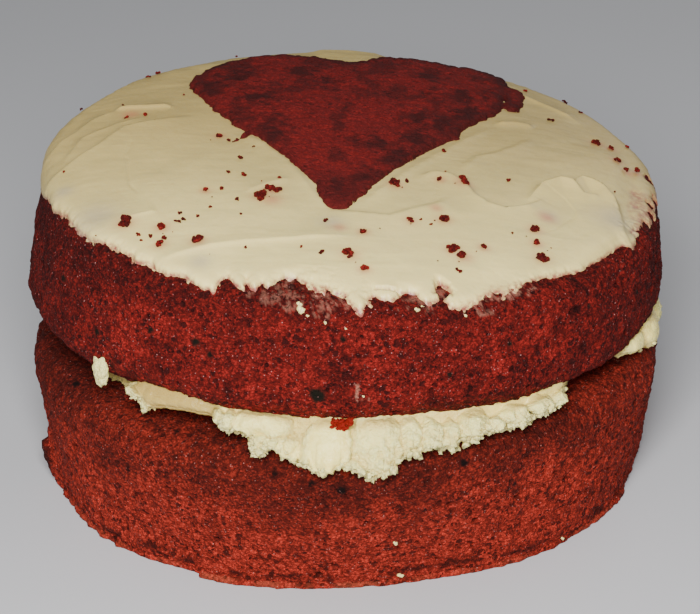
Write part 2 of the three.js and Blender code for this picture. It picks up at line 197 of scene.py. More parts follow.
def upper_profile(s):
    """Stations 0-1 top, 1-2 rounded rim, 2-3 wall, 3-4 rounded shoulder, 4-5 underside."""
    rim_flat = RIM_RADIUS - RIM_ROUND
    rim_turn = np.clip(s - 1.0, 0.0, 1.0) * (math.pi / 2)
    down = np.clip(s - 2.0, 0.0, 1.0)
    low_turn = np.clip(s - 3.0, 0.0, 1.0) * (math.pi / 2)
    inward = np.clip(5.0 - s, 0.0, 1.0)
    r_top = np.where(s <= 1.0, rim_flat * s, rim_flat + RIM_ROUND * np.sin(rim_turn))
    r_wall = mix(RIM_RADIUS, UPPER_WIDEST, down) + 0.5 * np.sin(math.pi * down)
    r_low = UPPER_WIDEST - UPPER_SHOULDER * (1.0 - np.cos(low_turn))
    r_under = (UPPER_WIDEST - UPPER_SHOULDER) * inward
    r = np.select([s <= 2.0, s <= 3.0, s <= 4.0], [r_top, r_wall, r_low], r_under)
    z_wall = mix(RIM_HIGH - RIM_ROUND, UPPER_WIDEST_HIGH, down)
    z_low = UPPER_WIDEST_HIGH - UPPER_SHOULDER * np.sin(low_turn)
    z_under = UPPER_WIDEST_HIGH - UPPER_SHOULDER - UPPER_UNDER_DOME * (1.0 - inward**2)
    z = np.select([s <= 2.0, s <= 3.0, s <= 4.0], [RIM_HIGH + top_rise(r_top), z_wall, z_low], z_under)
    cx = mix(RIM_CENTRE[0], UPPER_LOW_CENTRE[0], down)
    cy = mix(RIM_CENTRE[1], UPPER_LOW_CENTRE[1], down)
    ax = mix(RIM_TILT[0], UPPER_LOW_TILT[0], down)
    ay = mix(RIM_TILT[1], UPPER_LOW_TILT[1], down)
    return r, z, cx, cy, ax, ay


# Each layer's profile, its last station, where its waves start, and at which stations they show
LAYERS = {
    "lower": (lower_profile, 3.0, 0.7, lambda s: smooth(s - 0.6)),
    "upper": (upper_profile, 5.0, 2.9, lambda s: smooth(s - 0.6) * smooth(4.6 - s)),
}


def uneven(angle, high, phase):
    """Soft waves of a baked side."""
    return (
        0.45 * np.sin(3 * angle + phase)
        + 0.3 * np.sin(7 * angle - 0.06 * high + 2 * phase)
        + 0.25 * np.sin(13 * angle + 0.11 * high + 3 * phase)
    )


# Where the upper layer's underside lifts off the filling: angle, width in degrees and height in mm
LIFTS = ((-126, 6, 1.5), (-118, 5, 1.5))


def on_layer(layer, station, angle, out=0.0):
    """Points of a layer's skin, moved out along the profile's normal."""
    profile, last, phase, fade = LAYERS[layer]
    station, angle = np.broadcast_arrays(np.asarray(station, float), np.asarray(angle, float))
    r, z, cx, cy, ax, ay = profile(station)
    r0, z0 = profile(np.maximum(station - 0.01, 0.0))[:2]
    r1, z1 = profile(np.minimum(station + 0.01, last))[:2]
    along = np.maximum(np.hypot(r1 - r0, z1 - z0), 1e-9)
    r = r - (z1 - z0) / along * out + fade(station) * uneven(angle, z, phase)
    x = cx + r * np.cos(angle)
    y = cy + r * np.sin(angle)
    z = z + (r1 - r0) / along * out + ax * x + ay * y
    if layer == "upper":
        z = z + smooth((station - 2.5) / 0.8) * bump_sum(angle, LIFTS)
    return np.stack([x, y, z], -1)


def even_stations(parts):
    """Stations spaced evenly along a profile: each part is its first and last station and how many steps."""
    rows = [np.linspace(first, last, steps, endpoint=False) for first, last, steps in parts]
    return np.concatenate(rows + [[parts[-1][1]]])


def turned(count, lean=0.0):
    """Angles once round, set closer together at the front if they lean to it."""
    t = np.linspace(0.0, 2.0 * math.pi, count, endpoint=False)
    return t - lean * np.cos(t)


def round_table(angle, table, column):
    """Values read between the rows of a table whose first column is an angle in degrees."""
    rows = np.array(table, float)
    rows = rows[np.argsort(rows[:, 0])]
    return np.interp(np.degrees(angle), rows[:, 0], rows[:, column], period=360.0)


def along_path(x, y, path):
    """Distance to a bent line, its side (left is positive), and how far along it the nearest place lies."""
    least = np.full(x.shape, 1e9)
    side = np.ones(x.shape)
    at = np.zeros(x.shape)
    whole = 0.0
    for (ax, ay), (bx, by) in zip(path, path[1:]):
        length = math.hypot(bx - ax, by - ay)
        t = np.clip(((x - ax) * (bx - ax) + (y - ay) * (by - ay)) / length**2, 0.0, 1.0)
        away = np.hypot(x - mix(ax, bx, t), y - mix(ay, by, t))
        closer = away < least
        turn = np.sign((bx - ax) * (y - ay) - (by - ay) * (x - ax))
        side = np.where(closer, turn, side)
        at = np.where(closer, whole + t * length, at)
        least = np.minimum(least, away)
        whole += length
    return least, side, at / whole


def inside_outline(x, y, outline):
    """Distance to a closed outline, positive inside it."""
    least, _, _ = along_path(x, y, [*outline, outline[0]])
    inside = np.zeros(x.shape, bool)
    for (ax, ay), (bx, by) in zip(outline, [*outline[1:], outline[0]]):
        if ay != by:
            crossing = (ay > y) != (by > y)
            inside ^= crossing & (x < (bx - ax) * (y - ay) / (by - ay) + ax)
    return np.where(inside, least, -least)


# Meshes
def grid_normals(points):
    """Unit normals of a grid of points that closes on itself across its columns."""
    across = np.roll(points, -1, 1) - np.roll(points, 1, 1)
    down = np.gradient(points, axis=0)
    normal = np.cross(down, across)
    return normal / np.maximum(np.linalg.norm(normal, axis=-1, keepdims=True), 1e-9)


def wrapped_faces(rows, columns, closed_rows=False):
    """Quads of a grid whose columns close on themselves, and its rows too if asked."""
    row = np.arange(rows if closed_rows else rows - 1)[:, None]
    column = np.arange(columns)[None, :]
    here = row * columns
    below = ((row + 1) % rows) * columns
    beside = (column + 1) % columns
    return np.stack([here + column, below + column, below + beside, here + beside], -1).reshape(-1, 4)


def trimmed(keep):
    """The points used and the quads of the cells of a grid whose corners are all kept."""
    columns = keep.shape[1]
    whole = keep[:-1, :-1] & keep[1:, :-1] & keep[1:, 1:] & keep[:-1, 1:]
    row, column = np.nonzero(whole)
    here = row * columns + column
    quads = np.stack([here, here + 1, here + columns + 1, here + columns], -1)
    used, faces = np.unique(quads, return_inverse=True)
    return used, faces.reshape(-1, 4)


def to_frame(points):
    """From millimetres round the lower layer to metres in the frame."""
    moved = np.array(points, float).reshape(-1, 3) - np.array([CENTRE[0], CENTRE[1], 0.0])
    return moved * 0.001


def mesh_piece(name, points, faces, material, masks=None, smooth_shaded=True):
    """A mesh object from arrays of points in mm and of faces with the same number of corners each."""
    points = to_frame(points)
    sides = faces.shape[1]
    mesh = bpy.data.meshes.new(name)
    mesh.vertices.add(len(points))
    mesh.vertices.foreach_set("co", points.astype(np.float32).ravel())
    mesh.loops.add(faces.size)
    mesh.loops.foreach_set("vertex_index", faces.astype(np.int32).ravel())
    mesh.polygons.add(len(faces))
    mesh.polygons.foreach_set("loop_start", np.arange(0, faces.size, sides, dtype=np.int32))
    mesh.polygons.foreach_set("loop_total", np.full(len(faces), sides, np.int32))
    mesh.update(calc_edges=True)
    mesh.validate()
    for mask, values in (masks or {}).items():
        layer = mesh.attributes.new(mask, "FLOAT", "POINT")
        layer.data.foreach_set("value", np.asarray(values, np.float32).ravel())
    mesh.polygons.foreach_set("use_smooth", np.full(len(faces), smooth_shaded))
    mesh.materials.append(material)
    piece = bpy.data.objects.new(name, mesh)
    bpy.context.scene.collection.objects.link(piece)
    return piece


def place(piece, slot, *nodes):
    """Ties a piece to the cake's body and hides the nodes it stands in place of; its slot is not used."""
    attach(piece, "root")
    if nodes:
        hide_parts(*nodes)


def ball(fine):
    """Points and triangles of a round ball of radius 1, split that many times."""
    t = (1.0 + math.sqrt(5.0)) / 2.0
    points = [(-1, t, 0), (1, t, 0), (-1, -t, 0), (1, -t, 0), (0, -1, t), (0, 1, t)]
    points += [(0, -1, -t), (0, 1, -t), (t, 0, -1), (t, 0, 1), (-t, 0, -1), (-t, 0, 1)]
    points = [np.array(p, float) / math.hypot(1.0, t) for p in points]
    faces = [(0, 11, 5), (0, 5, 1), (0, 1, 7), (0, 7, 10), (0, 10, 11), (1, 5, 9), (5, 11, 4)]
    faces += [(11, 10, 2), (10, 7, 6), (7, 1, 8), (3, 9, 4), (3, 4, 2), (3, 2, 6), (3, 6, 8)]
    faces += [(3, 8, 9), (4, 9, 5), (2, 4, 11), (6, 2, 10), (8, 6, 7), (9, 8, 1)]
    for _ in range(fine):
        middles = {}
        split = []
        for a, b, c in faces:
            corners = []
            for i, j in ((a, b), (b, c), (c, a)):
                key = (min(i, j), max(i, j))
                if key not in middles:
                    middle = points[i] + points[j]
                    points.append(middle / np.linalg.norm(middle))
                    middles[key] = len(points) - 1
                corners.append(middles[key])
            ab, bc, ca = corners
            split += [(a, ab, ca), (b, bc, ab), (c, ca, bc), (ab, bc, ca)]
        faces = split
    return np.array(points), np.array(faces)


def blank_masks(points, *names):
    """Masks that are zero at every point."""
    return {name: np.zeros(len(points)) for name in names}


def lumps_mesh(places, radii, rough, salt, squash=None):
    """Rough lumps as one set of points and triangles, one at each place."""
    points, faces = ball(1)
    places = np.asarray(places, float).reshape(-1, 1, 3)
    radii = np.asarray(radii, float).reshape(-1, 1, 1)
    shape = points[None] * radii
    own = np.arange(len(places)).reshape(-1, 1, 1) * 17.3
    spread = points[None] * 1.3 + own
    pattern = soft_noise(spread, 0.8, salt) + 0.5 * soft_noise(spread, 0.35, salt + 5)
    shape = shape * (1.0 + rough * pattern[..., None])
    if squash is not None:
        shape = shape * np.asarray(squash, float).reshape(-1, 1, 3)
    all_points = (shape + places).reshape(-1, 3)
    offsets = (np.arange(len(places)) * len(points)).reshape(-1, 1, 1)
    return all_points, (faces[None] + offsets).reshape(-1, 3)


# Settings
def length_setting(name, description, value_mm):
    return FloatProperty(
        name=name,
        description=description,
        default=value_mm * 0.001,
        min=0.0,
        unit="LENGTH",
        subtype="DISTANCE",
        precision=5,
    )


def colour_setting(name, description, value):
    return FloatVectorProperty(
        name=name,
        description=description,
        default=value,
        size=3,
        min=0.0,
        max=1.0,
        subtype="COLOR",
    )


# Curd depth at which the filling's lumps stand out as far as their table says, mm
CURD_DEPTH = 2.2


class CakeSizes(bpy.types.PropertyGroup):
    """Sizes of the relief on the cake"""

    crumb_relief: length_setting("Crumb relief", "How rough the open crumb of the sponge is", 0.36)
    pit_depth: length_setting("Pit depth", "How deep the larger pores of the sponge go", 1.1)
    icing_thick: length_setting("Icing thickness", "Thickness of the icing in the middle of the top", 2.3)
    heart_proud: length_setting("Heart height", "How far the heart stands above the icing", 1.3)
    curd_depth: length_setting("Curd depth", "How far lumps of buttercream stand out", CURD_DEPTH)
    crumb_seed: IntProperty(
        name="Crumb seed",
        description="Start of the random draw for the crumbs on the icing",
        default=41,
    )


class CakeColours(bpy.types.PropertyGroup):
    """Colours of the cake"""

    upper_crumb: colour_setting("Upper crumb", "Red of the upper layer", (0.184, 0.0108, 0.0076))
    upper_dark: colour_setting("Upper pores", "Dark pores of the upper layer", (0.036, 0.0045, 0.004))
    lower_crumb: colour_setting("Lower crumb", "Orange red of the lower layer", (0.296, 0.0240, 0.0130))
    lower_dark: colour_setting("Lower pores", "Dark pores of the lower layer", (0.095, 0.010, 0.0055))
    heart_crust: colour_setting("Heart crust", "Dark red of the heart", (0.157, 0.0105, 0.009))
    cream: colour_setting("Icing", "Cream of the icing", (0.78, 0.635, 0.25))
    buttercream: colour_setting("Buttercream", "Ivory of the filling", (1.0, 0.835, 0.268))


# Materials
def new_group(name, inputs, outputs):
    """A shader node group with named float inputs (name, value) and outputs (name, socket type)."""
    tree = bpy.data.node_groups.new(name, "ShaderNodeTree")
    for label, value in inputs:
        socket = tree.interface.new_socket(name=label, in_out="INPUT", socket_type="NodeSocketFloat")
        socket.default_value = value
    for label, kind in outputs:
        tree.interface.new_socket(name=label, in_out="OUTPUT", socket_type=kind)
    return tree, tree.nodes.new("NodeGroupInput"), tree.nodes.new("NodeGroupOutput")


class Nodes:
    """Adds nodes to a tree in few words."""

    def __init__(self, tree):
        self.tree = tree

    def link(self, source, target):
        self.tree.links.new(source, target)

    def feed(self, socket, value):
        if isinstance(value, bpy.types.NodeSocket):
            self.link(value, socket)
        else:
            socket.default_value = value

    def maths(self, operation, a, b):
        node = self.tree.nodes.new("ShaderNodeMath")
        node.operation = operation
        self.feed(node.inputs[0], a)
        self.feed(node.inputs[1], b)
        return node.outputs[0]

    def times(self, a, b):
        return self.maths("MULTIPLY", a, b)

    def plus(self, a, b):
        return self.maths("ADD", a, b)

    def minus(self, a, b):
        return self.maths("SUBTRACT", a, b)

    def noise(self, size_mm, detail=2.0, rough=0.5, distort=0.0, source=None, offset=0.0):
        """Noise over the object's own coordinates with blobs of about that size."""
        node = self.tree.nodes.new("ShaderNodeTexNoise")
        if offset:
            node.noise_dimensions = "4D"
            node.inputs["W"].default_value = offset
        node.inputs["Scale"].default_value = 1000.0 / size_mm
        node.inputs["Detail"].default_value = detail
        node.inputs["Roughness"].default_value = rough
        node.inputs["Distortion"].default_value = distort
        self.link(source or self.where(), node.inputs["Vector"])
        return node.outputs["Fac"]

    def spots(self, size_mm, source=None, offset=0.0):
        """Distance to the nearest seed of a cell pattern."""
        node = self.tree.nodes.new("ShaderNodeTexVoronoi")
        if offset:
            node.voronoi_dimensions = "4D"
            node.inputs["W"].default_value = offset
        node.inputs["Scale"].default_value = 1000.0 / size_mm
        self.link(source or self.where(), node.inputs["Vector"])
        return node.outputs["Distance"], node.outputs["Color"]

    def where(self):
        return self.tree.nodes.new("ShaderNodeTexCoord").outputs["Object"]

    def jittered(self, size_mm, amount_mm, scale):
        """The object's own coordinates, scaled and shaken by noise."""
        noise = self.tree.nodes.new("ShaderNodeTexNoise")
        noise.inputs["Scale"].default_value = 1000.0 / size_mm
        self.link(self.where(), noise.inputs["Vector"])
        node = self.tree.nodes.new("ShaderNodeVectorMath")
        node.operation = "MULTIPLY_ADD"
        self.link(noise.outputs["Color"], node.inputs[0])
        node.inputs[1].default_value = (amount_mm * 0.001,) * 3
        self.link(self.drawn_out(scale), node.inputs[2])
        return node.outputs["Vector"]

    def drawn_out(self, scale):
        """The object's own coordinates, stretched where a scale is below 1."""
        node = self.tree.nodes.new("ShaderNodeMapping")
        node.inputs["Scale"].default_value = scale
        self.link(self.where(), node.inputs["Vector"])
        return node.outputs["Vector"]

    def mask(self, name):
        node = self.tree.nodes.new("ShaderNodeAttribute")
        node.attribute_name = name
        return node.outputs["Fac"]

    def ramp(self, value, low, high, to_low=0.0, to_high=1.0):
        node = self.tree.nodes.new("ShaderNodeMapRange")
        node.interpolation_type = "SMOOTHSTEP"
        self.feed(node.inputs["Value"], value)
        node.inputs["From Min"].default_value = low
        node.inputs["From Max"].default_value = high
        node.inputs["To Min"].default_value = to_low
        node.inputs["To Max"].default_value = to_high
        return node.outputs["Result"]

    def blend(self, share, a, b, how="MIX"):
        """Two colours mixed by a share."""
        node = self.tree.nodes.new("ShaderNodeMix")
        node.data_type = "RGBA"
        node.blend_type = how
        node.clamp_factor = True
        self.feed(node.inputs["Factor"], share)
        self.feed(node.inputs["A"], a if isinstance(a, bpy.types.NodeSocket) else (*a, 1.0))
        self.feed(node.inputs["B"], b if isinstance(b, bpy.types.NodeSocket) else (*b, 1.0))
        return node.outputs["Result"]

    def group(self, tree, **values):
        node = self.tree.nodes.new("ShaderNodeGroup")
        node.node_tree = tree
        for label, value in values.items():
            self.feed(node.inputs[label.replace("_", " ")], value)
        return node

    def bump(self, height, distance_mm, strength=1.0):
        node = self.tree.nodes.new("ShaderNodeBump")
        node.inputs["Strength"].default_value = strength
        node.inputs["Distance"].default_value = distance_mm * 0.001
        self.link(height, node.inputs["Height"])
        return node.outputs["Normal"]


def crumb_group():
    """Grain of an open crumb: fine grains that are darker toward their borders as painted shade, dark pores
    that are painted shade in the holes, pale sparkles that are painted highlights, and a height for the
    bump.
    """
    name = "Crumb grain"
    if name in bpy.data.node_groups:
        return bpy.data.node_groups[name]
    outputs = [(label, "NodeSocketFloat") for label in ("Grain", "Patches", "Pores", "Sparkle", "Height")]
    tree, given, out = new_group(name, [("Pore share", 0.5), ("Sparkle share", 0.5)], outputs)
    n = Nodes(tree)
    shaken = n.jittered(1.5, 1.6, (1.0, 1.0, 1.2))
    grain_far, grain_own = n.spots(0.85, source=shaken)
    noise = n.noise(1.9, detail=5.0, rough=0.85)
    fine = n.noise(0.8, detail=3.0, rough=0.7, offset=3.0)
    # Painted shade: each grain is darker toward its border, where it meets the next.
    between = n.ramp(grain_far, 0.2, 0.62, 1.0, 0.5)
    grain = n.plus(n.ramp(noise, 0.3, 0.7), n.ramp(fine, 0.3, 0.7, 0.0, 0.6))
    grain = n.times(n.plus(grain, n.ramp(grain_own, 0.2, 0.8, 0.0, 0.6)), between)
    broad = n.noise(14.0, detail=3.0, rough=0.6, offset=7.0)
    mottle = n.noise(4.0, detail=3.0, rough=0.65, offset=11.0)
    ragged = n.times(n.minus(fine, 0.5), 0.7)
    clustered = n.ramp(n.noise(6.0, detail=3.0, rough=0.7, offset=13.0), 0.4, 0.56, 0.3, 1.0)
    # Pores: places that the materials paint dark, as painted shade in the holes of the crumb.
    pore_far, pore_own = n.spots(2.3, source=shaken)
    pore = n.ramp(n.plus(pore_far, ragged), 0.5, 0.24)
    kept = n.maths("LESS_THAN", pore_own, given.outputs["Pore share"])
    small_far, small_own = n.spots(1.3, source=shaken, offset=2.0)
    small = n.ramp(n.plus(small_far, ragged), 0.48, 0.22)
    small_kept = n.maths("LESS_THAN", small_own, given.outputs["Pore share"])
    pores = n.maths("MAXIMUM", n.times(pore, kept), n.times(small, small_kept))
    pores = n.times(pores, clustered)
    # Sparkles: tiny spots that the materials paint pale, as painted highlights of crumbs catching the light.
    tiny_far, tiny_own = n.spots(0.8, offset=5.0)
    tiny = n.ramp(tiny_far, 0.3, 0.12)
    lit = n.maths("LESS_THAN", tiny_own, given.outputs["Sparkle share"])
    sparkle = n.times(n.times(tiny, lit), n.ramp(tiny_own, 0.0, 0.5, 1.0, 0.3))
    height = n.minus(n.times(noise, 1.3), n.times(grain_far, 0.5))
    height = n.minus(height, n.times(pores, 0.8))
    mottling = n.plus(n.times(broad, 0.45), n.times(mottle, 0.55))
    n.link(n.ramp(grain, 0.15, 1.55), out.inputs["Grain"])
    n.link(n.ramp(mottling, 0.4, 0.6), out.inputs["Patches"])
    n.link(pores, out.inputs["Pores"])
    n.link(sparkle, out.inputs["Sparkle"])
    n.link(height, out.inputs["Height"])
    return tree


def new_material(name, rough, specular):
    """A material with its Principled shader, ready for colour, roughness and normal."""
    material = bpy.data.materials.new(name)
    material.use_nodes = True
    shader = material.node_tree.nodes["Principled BSDF"]
    shader.inputs["Roughness"].default_value = rough
    shader.inputs["Specular IOR Level"].default_value = specular
    return material, shader, Nodes(material.node_tree)


def scaled(colour, k):
    """A colour made lighter or darker, with no channel above 1."""
    return tuple(min(c * k, 1.0) for c in colour)


def grained(n, crumb, colour, dark, light):
    """A colour between its darkest and lightest grain."""
    return n.blend(crumb.outputs["Grain"], scaled(colour, dark), scaled(colour, light))


def weighed(n, crumb, output, share):
    """A share of one of the crumb's masks."""
    return n.times(crumb.outputs[output], share)


# What the broad patches of both layers are multiplied by
PATCH_TINT = (0.36, 0.4, 0.42)


def upper_crumb_material(colours):
    material, shader, n = new_material("upper_crumb", 0.8, 0.12)
    crumb = n.group(crumb_group(), Pore_share=0.45, Sparkle_share=0.6)
    base = grained(n, crumb, colours.upper_crumb, 0.42, 2.0)
    base = n.blend(weighed(n, crumb, "Patches", 0.5), base, PATCH_TINT, "MULTIPLY")
    # This mask darkens the crust, and as painted shade the sides that turn away from the front light.
    base = n.blend(n.mask("toast_and_shade"), base, (0.25, 0.28, 0.3), "MULTIPLY")
    # Pores and pits are painted dark, as painted shade in the holes.
    base = n.blend(weighed(n, crumb, "Pores", 0.9), base, scaled(colours.upper_dark, 0.75))
    base = n.blend(n.mask("pit"), base, scaled(colours.upper_dark, 0.6))
    base = n.blend(n.mask("spot"), base, (0.008, 0.006, 0.003))
    base = n.blend(n.mask("smear"), base, (0.46, 0.20, 0.135))
    # Pale pink sparkles: painted highlights of crumbs catching the light.
    base = n.blend(weighed(n, crumb, "Sparkle", 0.85), base, (0.70, 0.34, 0.31))
    n.link(base, shader.inputs["Base Color"])
    n.link(n.ramp(crumb.outputs["Sparkle"], 0.0, 1.0, 0.85, 0.35), shader.inputs["Roughness"])
    n.link(n.bump(crumb.outputs["Height"], 0.9), shader.inputs["Normal"])
    return material


def lower_crumb_material(colours):
    material, shader, n = new_material("lower_crumb", 0.85, 0.12)
    crumb = n.group(crumb_group(), Pore_share=0.45, Sparkle_share=0.6)
    base = grained(n, crumb, colours.lower_crumb, 0.45, 2.15)
    base = n.blend(weighed(n, crumb, "Patches", 0.5), base, PATCH_TINT, "MULTIPLY")
    base = n.blend(n.mask("toast_and_shade"), base, (0.22, 0.25, 0.25), "MULTIPLY")
    # Pores and pits are painted dark, as painted shade in the holes.
    base = n.blend(weighed(n, crumb, "Pores", 0.88), base, scaled(colours.lower_dark, 0.45))
    base = n.blend(n.mask("pit"), base, scaled(colours.lower_dark, 0.5))
    base = n.blend(n.mask("rim"), base, (0.42, 0.085, 0.04))
    base = n.blend(n.mask("spot"), base, (0.006, 0.002, 0.0015))
    # Pale pink sparkles: painted highlights of crumbs catching the light.
    base = n.blend(weighed(n, crumb, "Sparkle", 0.8), base, (0.70, 0.32, 0.27))
    n.link(base, shader.inputs["Base Color"])
    n.link(n.ramp(crumb.outputs["Sparkle"], 0.0, 1.0, 0.88, 0.4), shader.inputs["Roughness"])
    n.link(n.bump(crumb.outputs["Height"], 0.9), shader.inputs["Normal"])
    return material


def heart_material(colours):
    material, shader, n = new_material("heart_crust", 0.75, 0.12)
    crumb = n.group(crumb_group(), Pore_share=0.3, Sparkle_share=0.2)
    base = grained(n, crumb, colours.heart_crust, 0.72, 1.42)
    base = n.blend(weighed(n, crumb, "Patches", 0.3), base, scaled(colours.heart_crust, 0.5))
    # Pores and pits are painted dark, as painted shade in the holes.
    base = n.blend(weighed(n, crumb, "Pores", 0.45), base, (0.03, 0.005, 0.0045))
    base = n.blend(n.mask("pit"), base, (0.028, 0.0045, 0.004))
    # Darker as painted shade at the far and right edges and round the rim, darker toward the tip, and in the
    # crust's own blotches.
    base = n.blend(n.mask("toast_and_shade"), base, (0.034, 0.0055, 0.005))
    # Pale sparkles: painted highlights.
    base = n.blend(weighed(n, crumb, "Sparkle", 0.2), base, (0.4, 0.12, 0.11))
    n.link(base, shader.inputs["Base Color"])
    n.link(n.bump(crumb.outputs["Height"], 0.4), shader.inputs["Normal"])
    return material


def crumb_material(colours):
    material, shader, n = new_material("loose_crumb", 0.85, 0.12)
    crumb = n.group(crumb_group(), Pore_share=0.5, Sparkle_share=0.3)
    base = grained(n, crumb, colours.upper_crumb, 0.4, 1.7)
    dark = n.mask("dark")
    base = n.blend(dark, base, scaled(colours.upper_dark, 0.9))
    # Freshly torn sponge is marked with a dark of -1
    base = n.blend(n.times(dark, -0.8), base, (0.22, 0.009, 0.004))
    n.link(base, shader.inputs["Base Color"])
    n.link(n.bump(crumb.outputs["Height"], 0.5), shader.inputs["Normal"])
    return material


def icing_material(colours):
    material, shader, n = new_material("cream_icing", 0.42, 0.4)
    shader.inputs["Subsurface Weight"].default_value = 0.25
    shader.inputs["Subsurface Radius"].default_value = (1.0, 0.8, 0.5)
    shader.inputs["Subsurface Scale"].default_value = 0.0015
    cloudy = n.noise(24.0, detail=3.0, offset=1.0)
    fine = n.noise(2.2, detail=4.0, rough=0.6, offset=4.0)
    brushed = n.noise(1.6, detail=3.0, rough=0.6, offset=6.0, source=n.drawn_out((0.1, 1.0, 1.0)))
    base = n.blend(n.ramp(cloudy, 0.35, 0.65), scaled(colours.cream, 0.94), scaled(colours.cream, 1.06))
    base = n.blend(n.times(n.ramp(fine, 0.45, 0.7), 0.14), base, scaled(colours.cream, 0.8))
    # Painted shade: the icing is darker and yellower toward the back, where the front light falls off.
    base = n.blend(n.times(n.mask("far"), 0.8), base, (0.52, 0.45, 0.36), "MULTIPLY")
    patchy = n.ramp(n.noise(2.0, detail=4.0, rough=0.65, offset=9.0), 0.3, 0.6)
    base = n.blend(n.times(n.mask("thin"), patchy), base, (0.30, 0.085, 0.06))
    base = n.blend(n.mask("grey"), base, (0.36, 0.31, 0.24))
    base = n.blend(n.mask("rust"), base, (0.50, 0.16, 0.085))
    n.link(base, shader.inputs["Base Color"])
    n.link(n.ramp(fine, 0.3, 0.7, 0.36, 0.52), shader.inputs["Roughness"])
    height = n.plus(n.times(fine, 0.5), n.times(n.noise(7.0), 0.8))
    height = n.plus(height, n.times(n.times(brushed, 0.25), n.mask("flat")))
    n.link(n.bump(height, 0.3, 0.7), shader.inputs["Normal"])
    return material


def buttercream_material(colours):
    material, shader, n = new_material("buttercream", 0.5, 0.5)
    shader.inputs["Subsurface Weight"].default_value = 0.3
    shader.inputs["Subsurface Radius"].default_value = (1.0, 0.85, 0.55)
    shader.inputs["Subsurface Scale"].default_value = 0.0015
    fine = n.noise(1.0, detail=4.0, rough=0.65)
    soft = n.noise(6.0, offset=5.0)
    sleek = n.mask("sleek")
    base = n.blend(n.ramp(soft, 0.4, 0.68), colours.buttercream, (0.93, 0.76, 0.22))
    base = n.blend(n.times(n.minus(1.0, sleek), 0.75), base, (1.0, 0.90, 0.37))
    # Painted shade: creases, hollows between lumps, cracks, torn hollows and the band just under the upper
    # layer are painted darker and yellower.
    base = n.blend(n.mask("crease_shade"), base, (0.75, 0.575, 0.18))
    # The smooth strip is painted darker: its own yellower tone, with painted shade where it is set back
    # under the upper layer.
    base = n.blend(n.times(n.mask("strip_tone_and_shade"), 0.9), base, (0.42, 0.285, 0.075))
    n.link(base, shader.inputs["Base Color"])
    matte = n.ramp(fine, 0.3, 0.7, 0.38, 0.56)
    n.link(n.minus(matte, n.times(sleek, 0.2)), shader.inputs["Roughness"])
    coarse = n.noise(2.4, detail=4.0, rough=0.7, offset=8.0)
    crumbly = n.plus(fine, n.times(coarse, 1.3))
    tearing = n.minus(1.0, n.times(sleek, 0.8))
    n.link(n.bump(n.times(crumbly, tearing), 1.2), shader.inputs["Normal"])
    return material


# Relief of the sponge
# Its pits: how far apart they lie in mm, and the share of places that have one
PITS = ((5.5, 0.30), (2.6, 0.5))
# Half width of a pit, as a share of the distance between them
PIT_WIDE = 0.34


def sponge_relief(points, sizes, salt, open_share):
    """How far out each point of the sponge moves in mm, and how deep in a pit it lies, from 0 to 1."""
    rough = sizes.crumb_relief * 1000.0
    deep = sizes.pit_depth * 1000.0
    move = rough * (0.9 * fractal(points, 7.0, 2, salt) + 1.1 * fractal(points, 1.8, 2, salt + 10, 0.6))
    pit = np.zeros(points.shape[:-1])
    shaken = points + 0.6 * soft_noise(points, 2.0, salt + 3)[..., None]
    for size, share in PITS:
        near, _, own = cells(shaken, size, salt + int(size * 10))
        hole = smooth((PIT_WIDE * (0.5 + own) - near) / 0.16) * (own < share * open_share * 2.0)
        pit = np.maximum(pit, hole * (size / PITS[0][0]) ** 0.5)
    return move - deep * pit, pit


def spots_on(points, angle, spots):
    """Share of the dark spots at each point, each its angle, height and width in mm."""
    share = np.zeros(points.shape[:-1])
    ragged = 0.3 * soft_noise(points, 1.3, 430)
    inward = TIN_RADIUS - np.hypot(points[..., 0], points[..., 1])
    for middle, high, wide in spots:
        across = round_side(angle, middle)
        nearest = (across**2 + (points[..., 2] - high) ** 2 + 0.02 * inward**2).argmin()
        away = np.linalg.norm(points - points.reshape(-1, 3)[nearest], axis=-1) / (0.5 * wide)
        share = np.maximum(share, smooth((1.2 - away + ragged) / 0.6))
    return share


def smears_on(points, angle, smears):
    """Share of the thin smears at each point: angle, height, half width, half height and strength."""
    share = np.zeros(points.shape[:-1])
    torn = 1.3 * fractal(points, 1.8, 4, 440, 0.75)
    for middle, high, wide, tall, strong in smears:
        across = round_side(angle, middle)
        away = np.hypot(across / wide, (points[..., 2] - high) / tall)
        share = np.maximum(share, strong * smooth((1.0 - away + torn) / 0.7) * (away < 2.0))
    return share


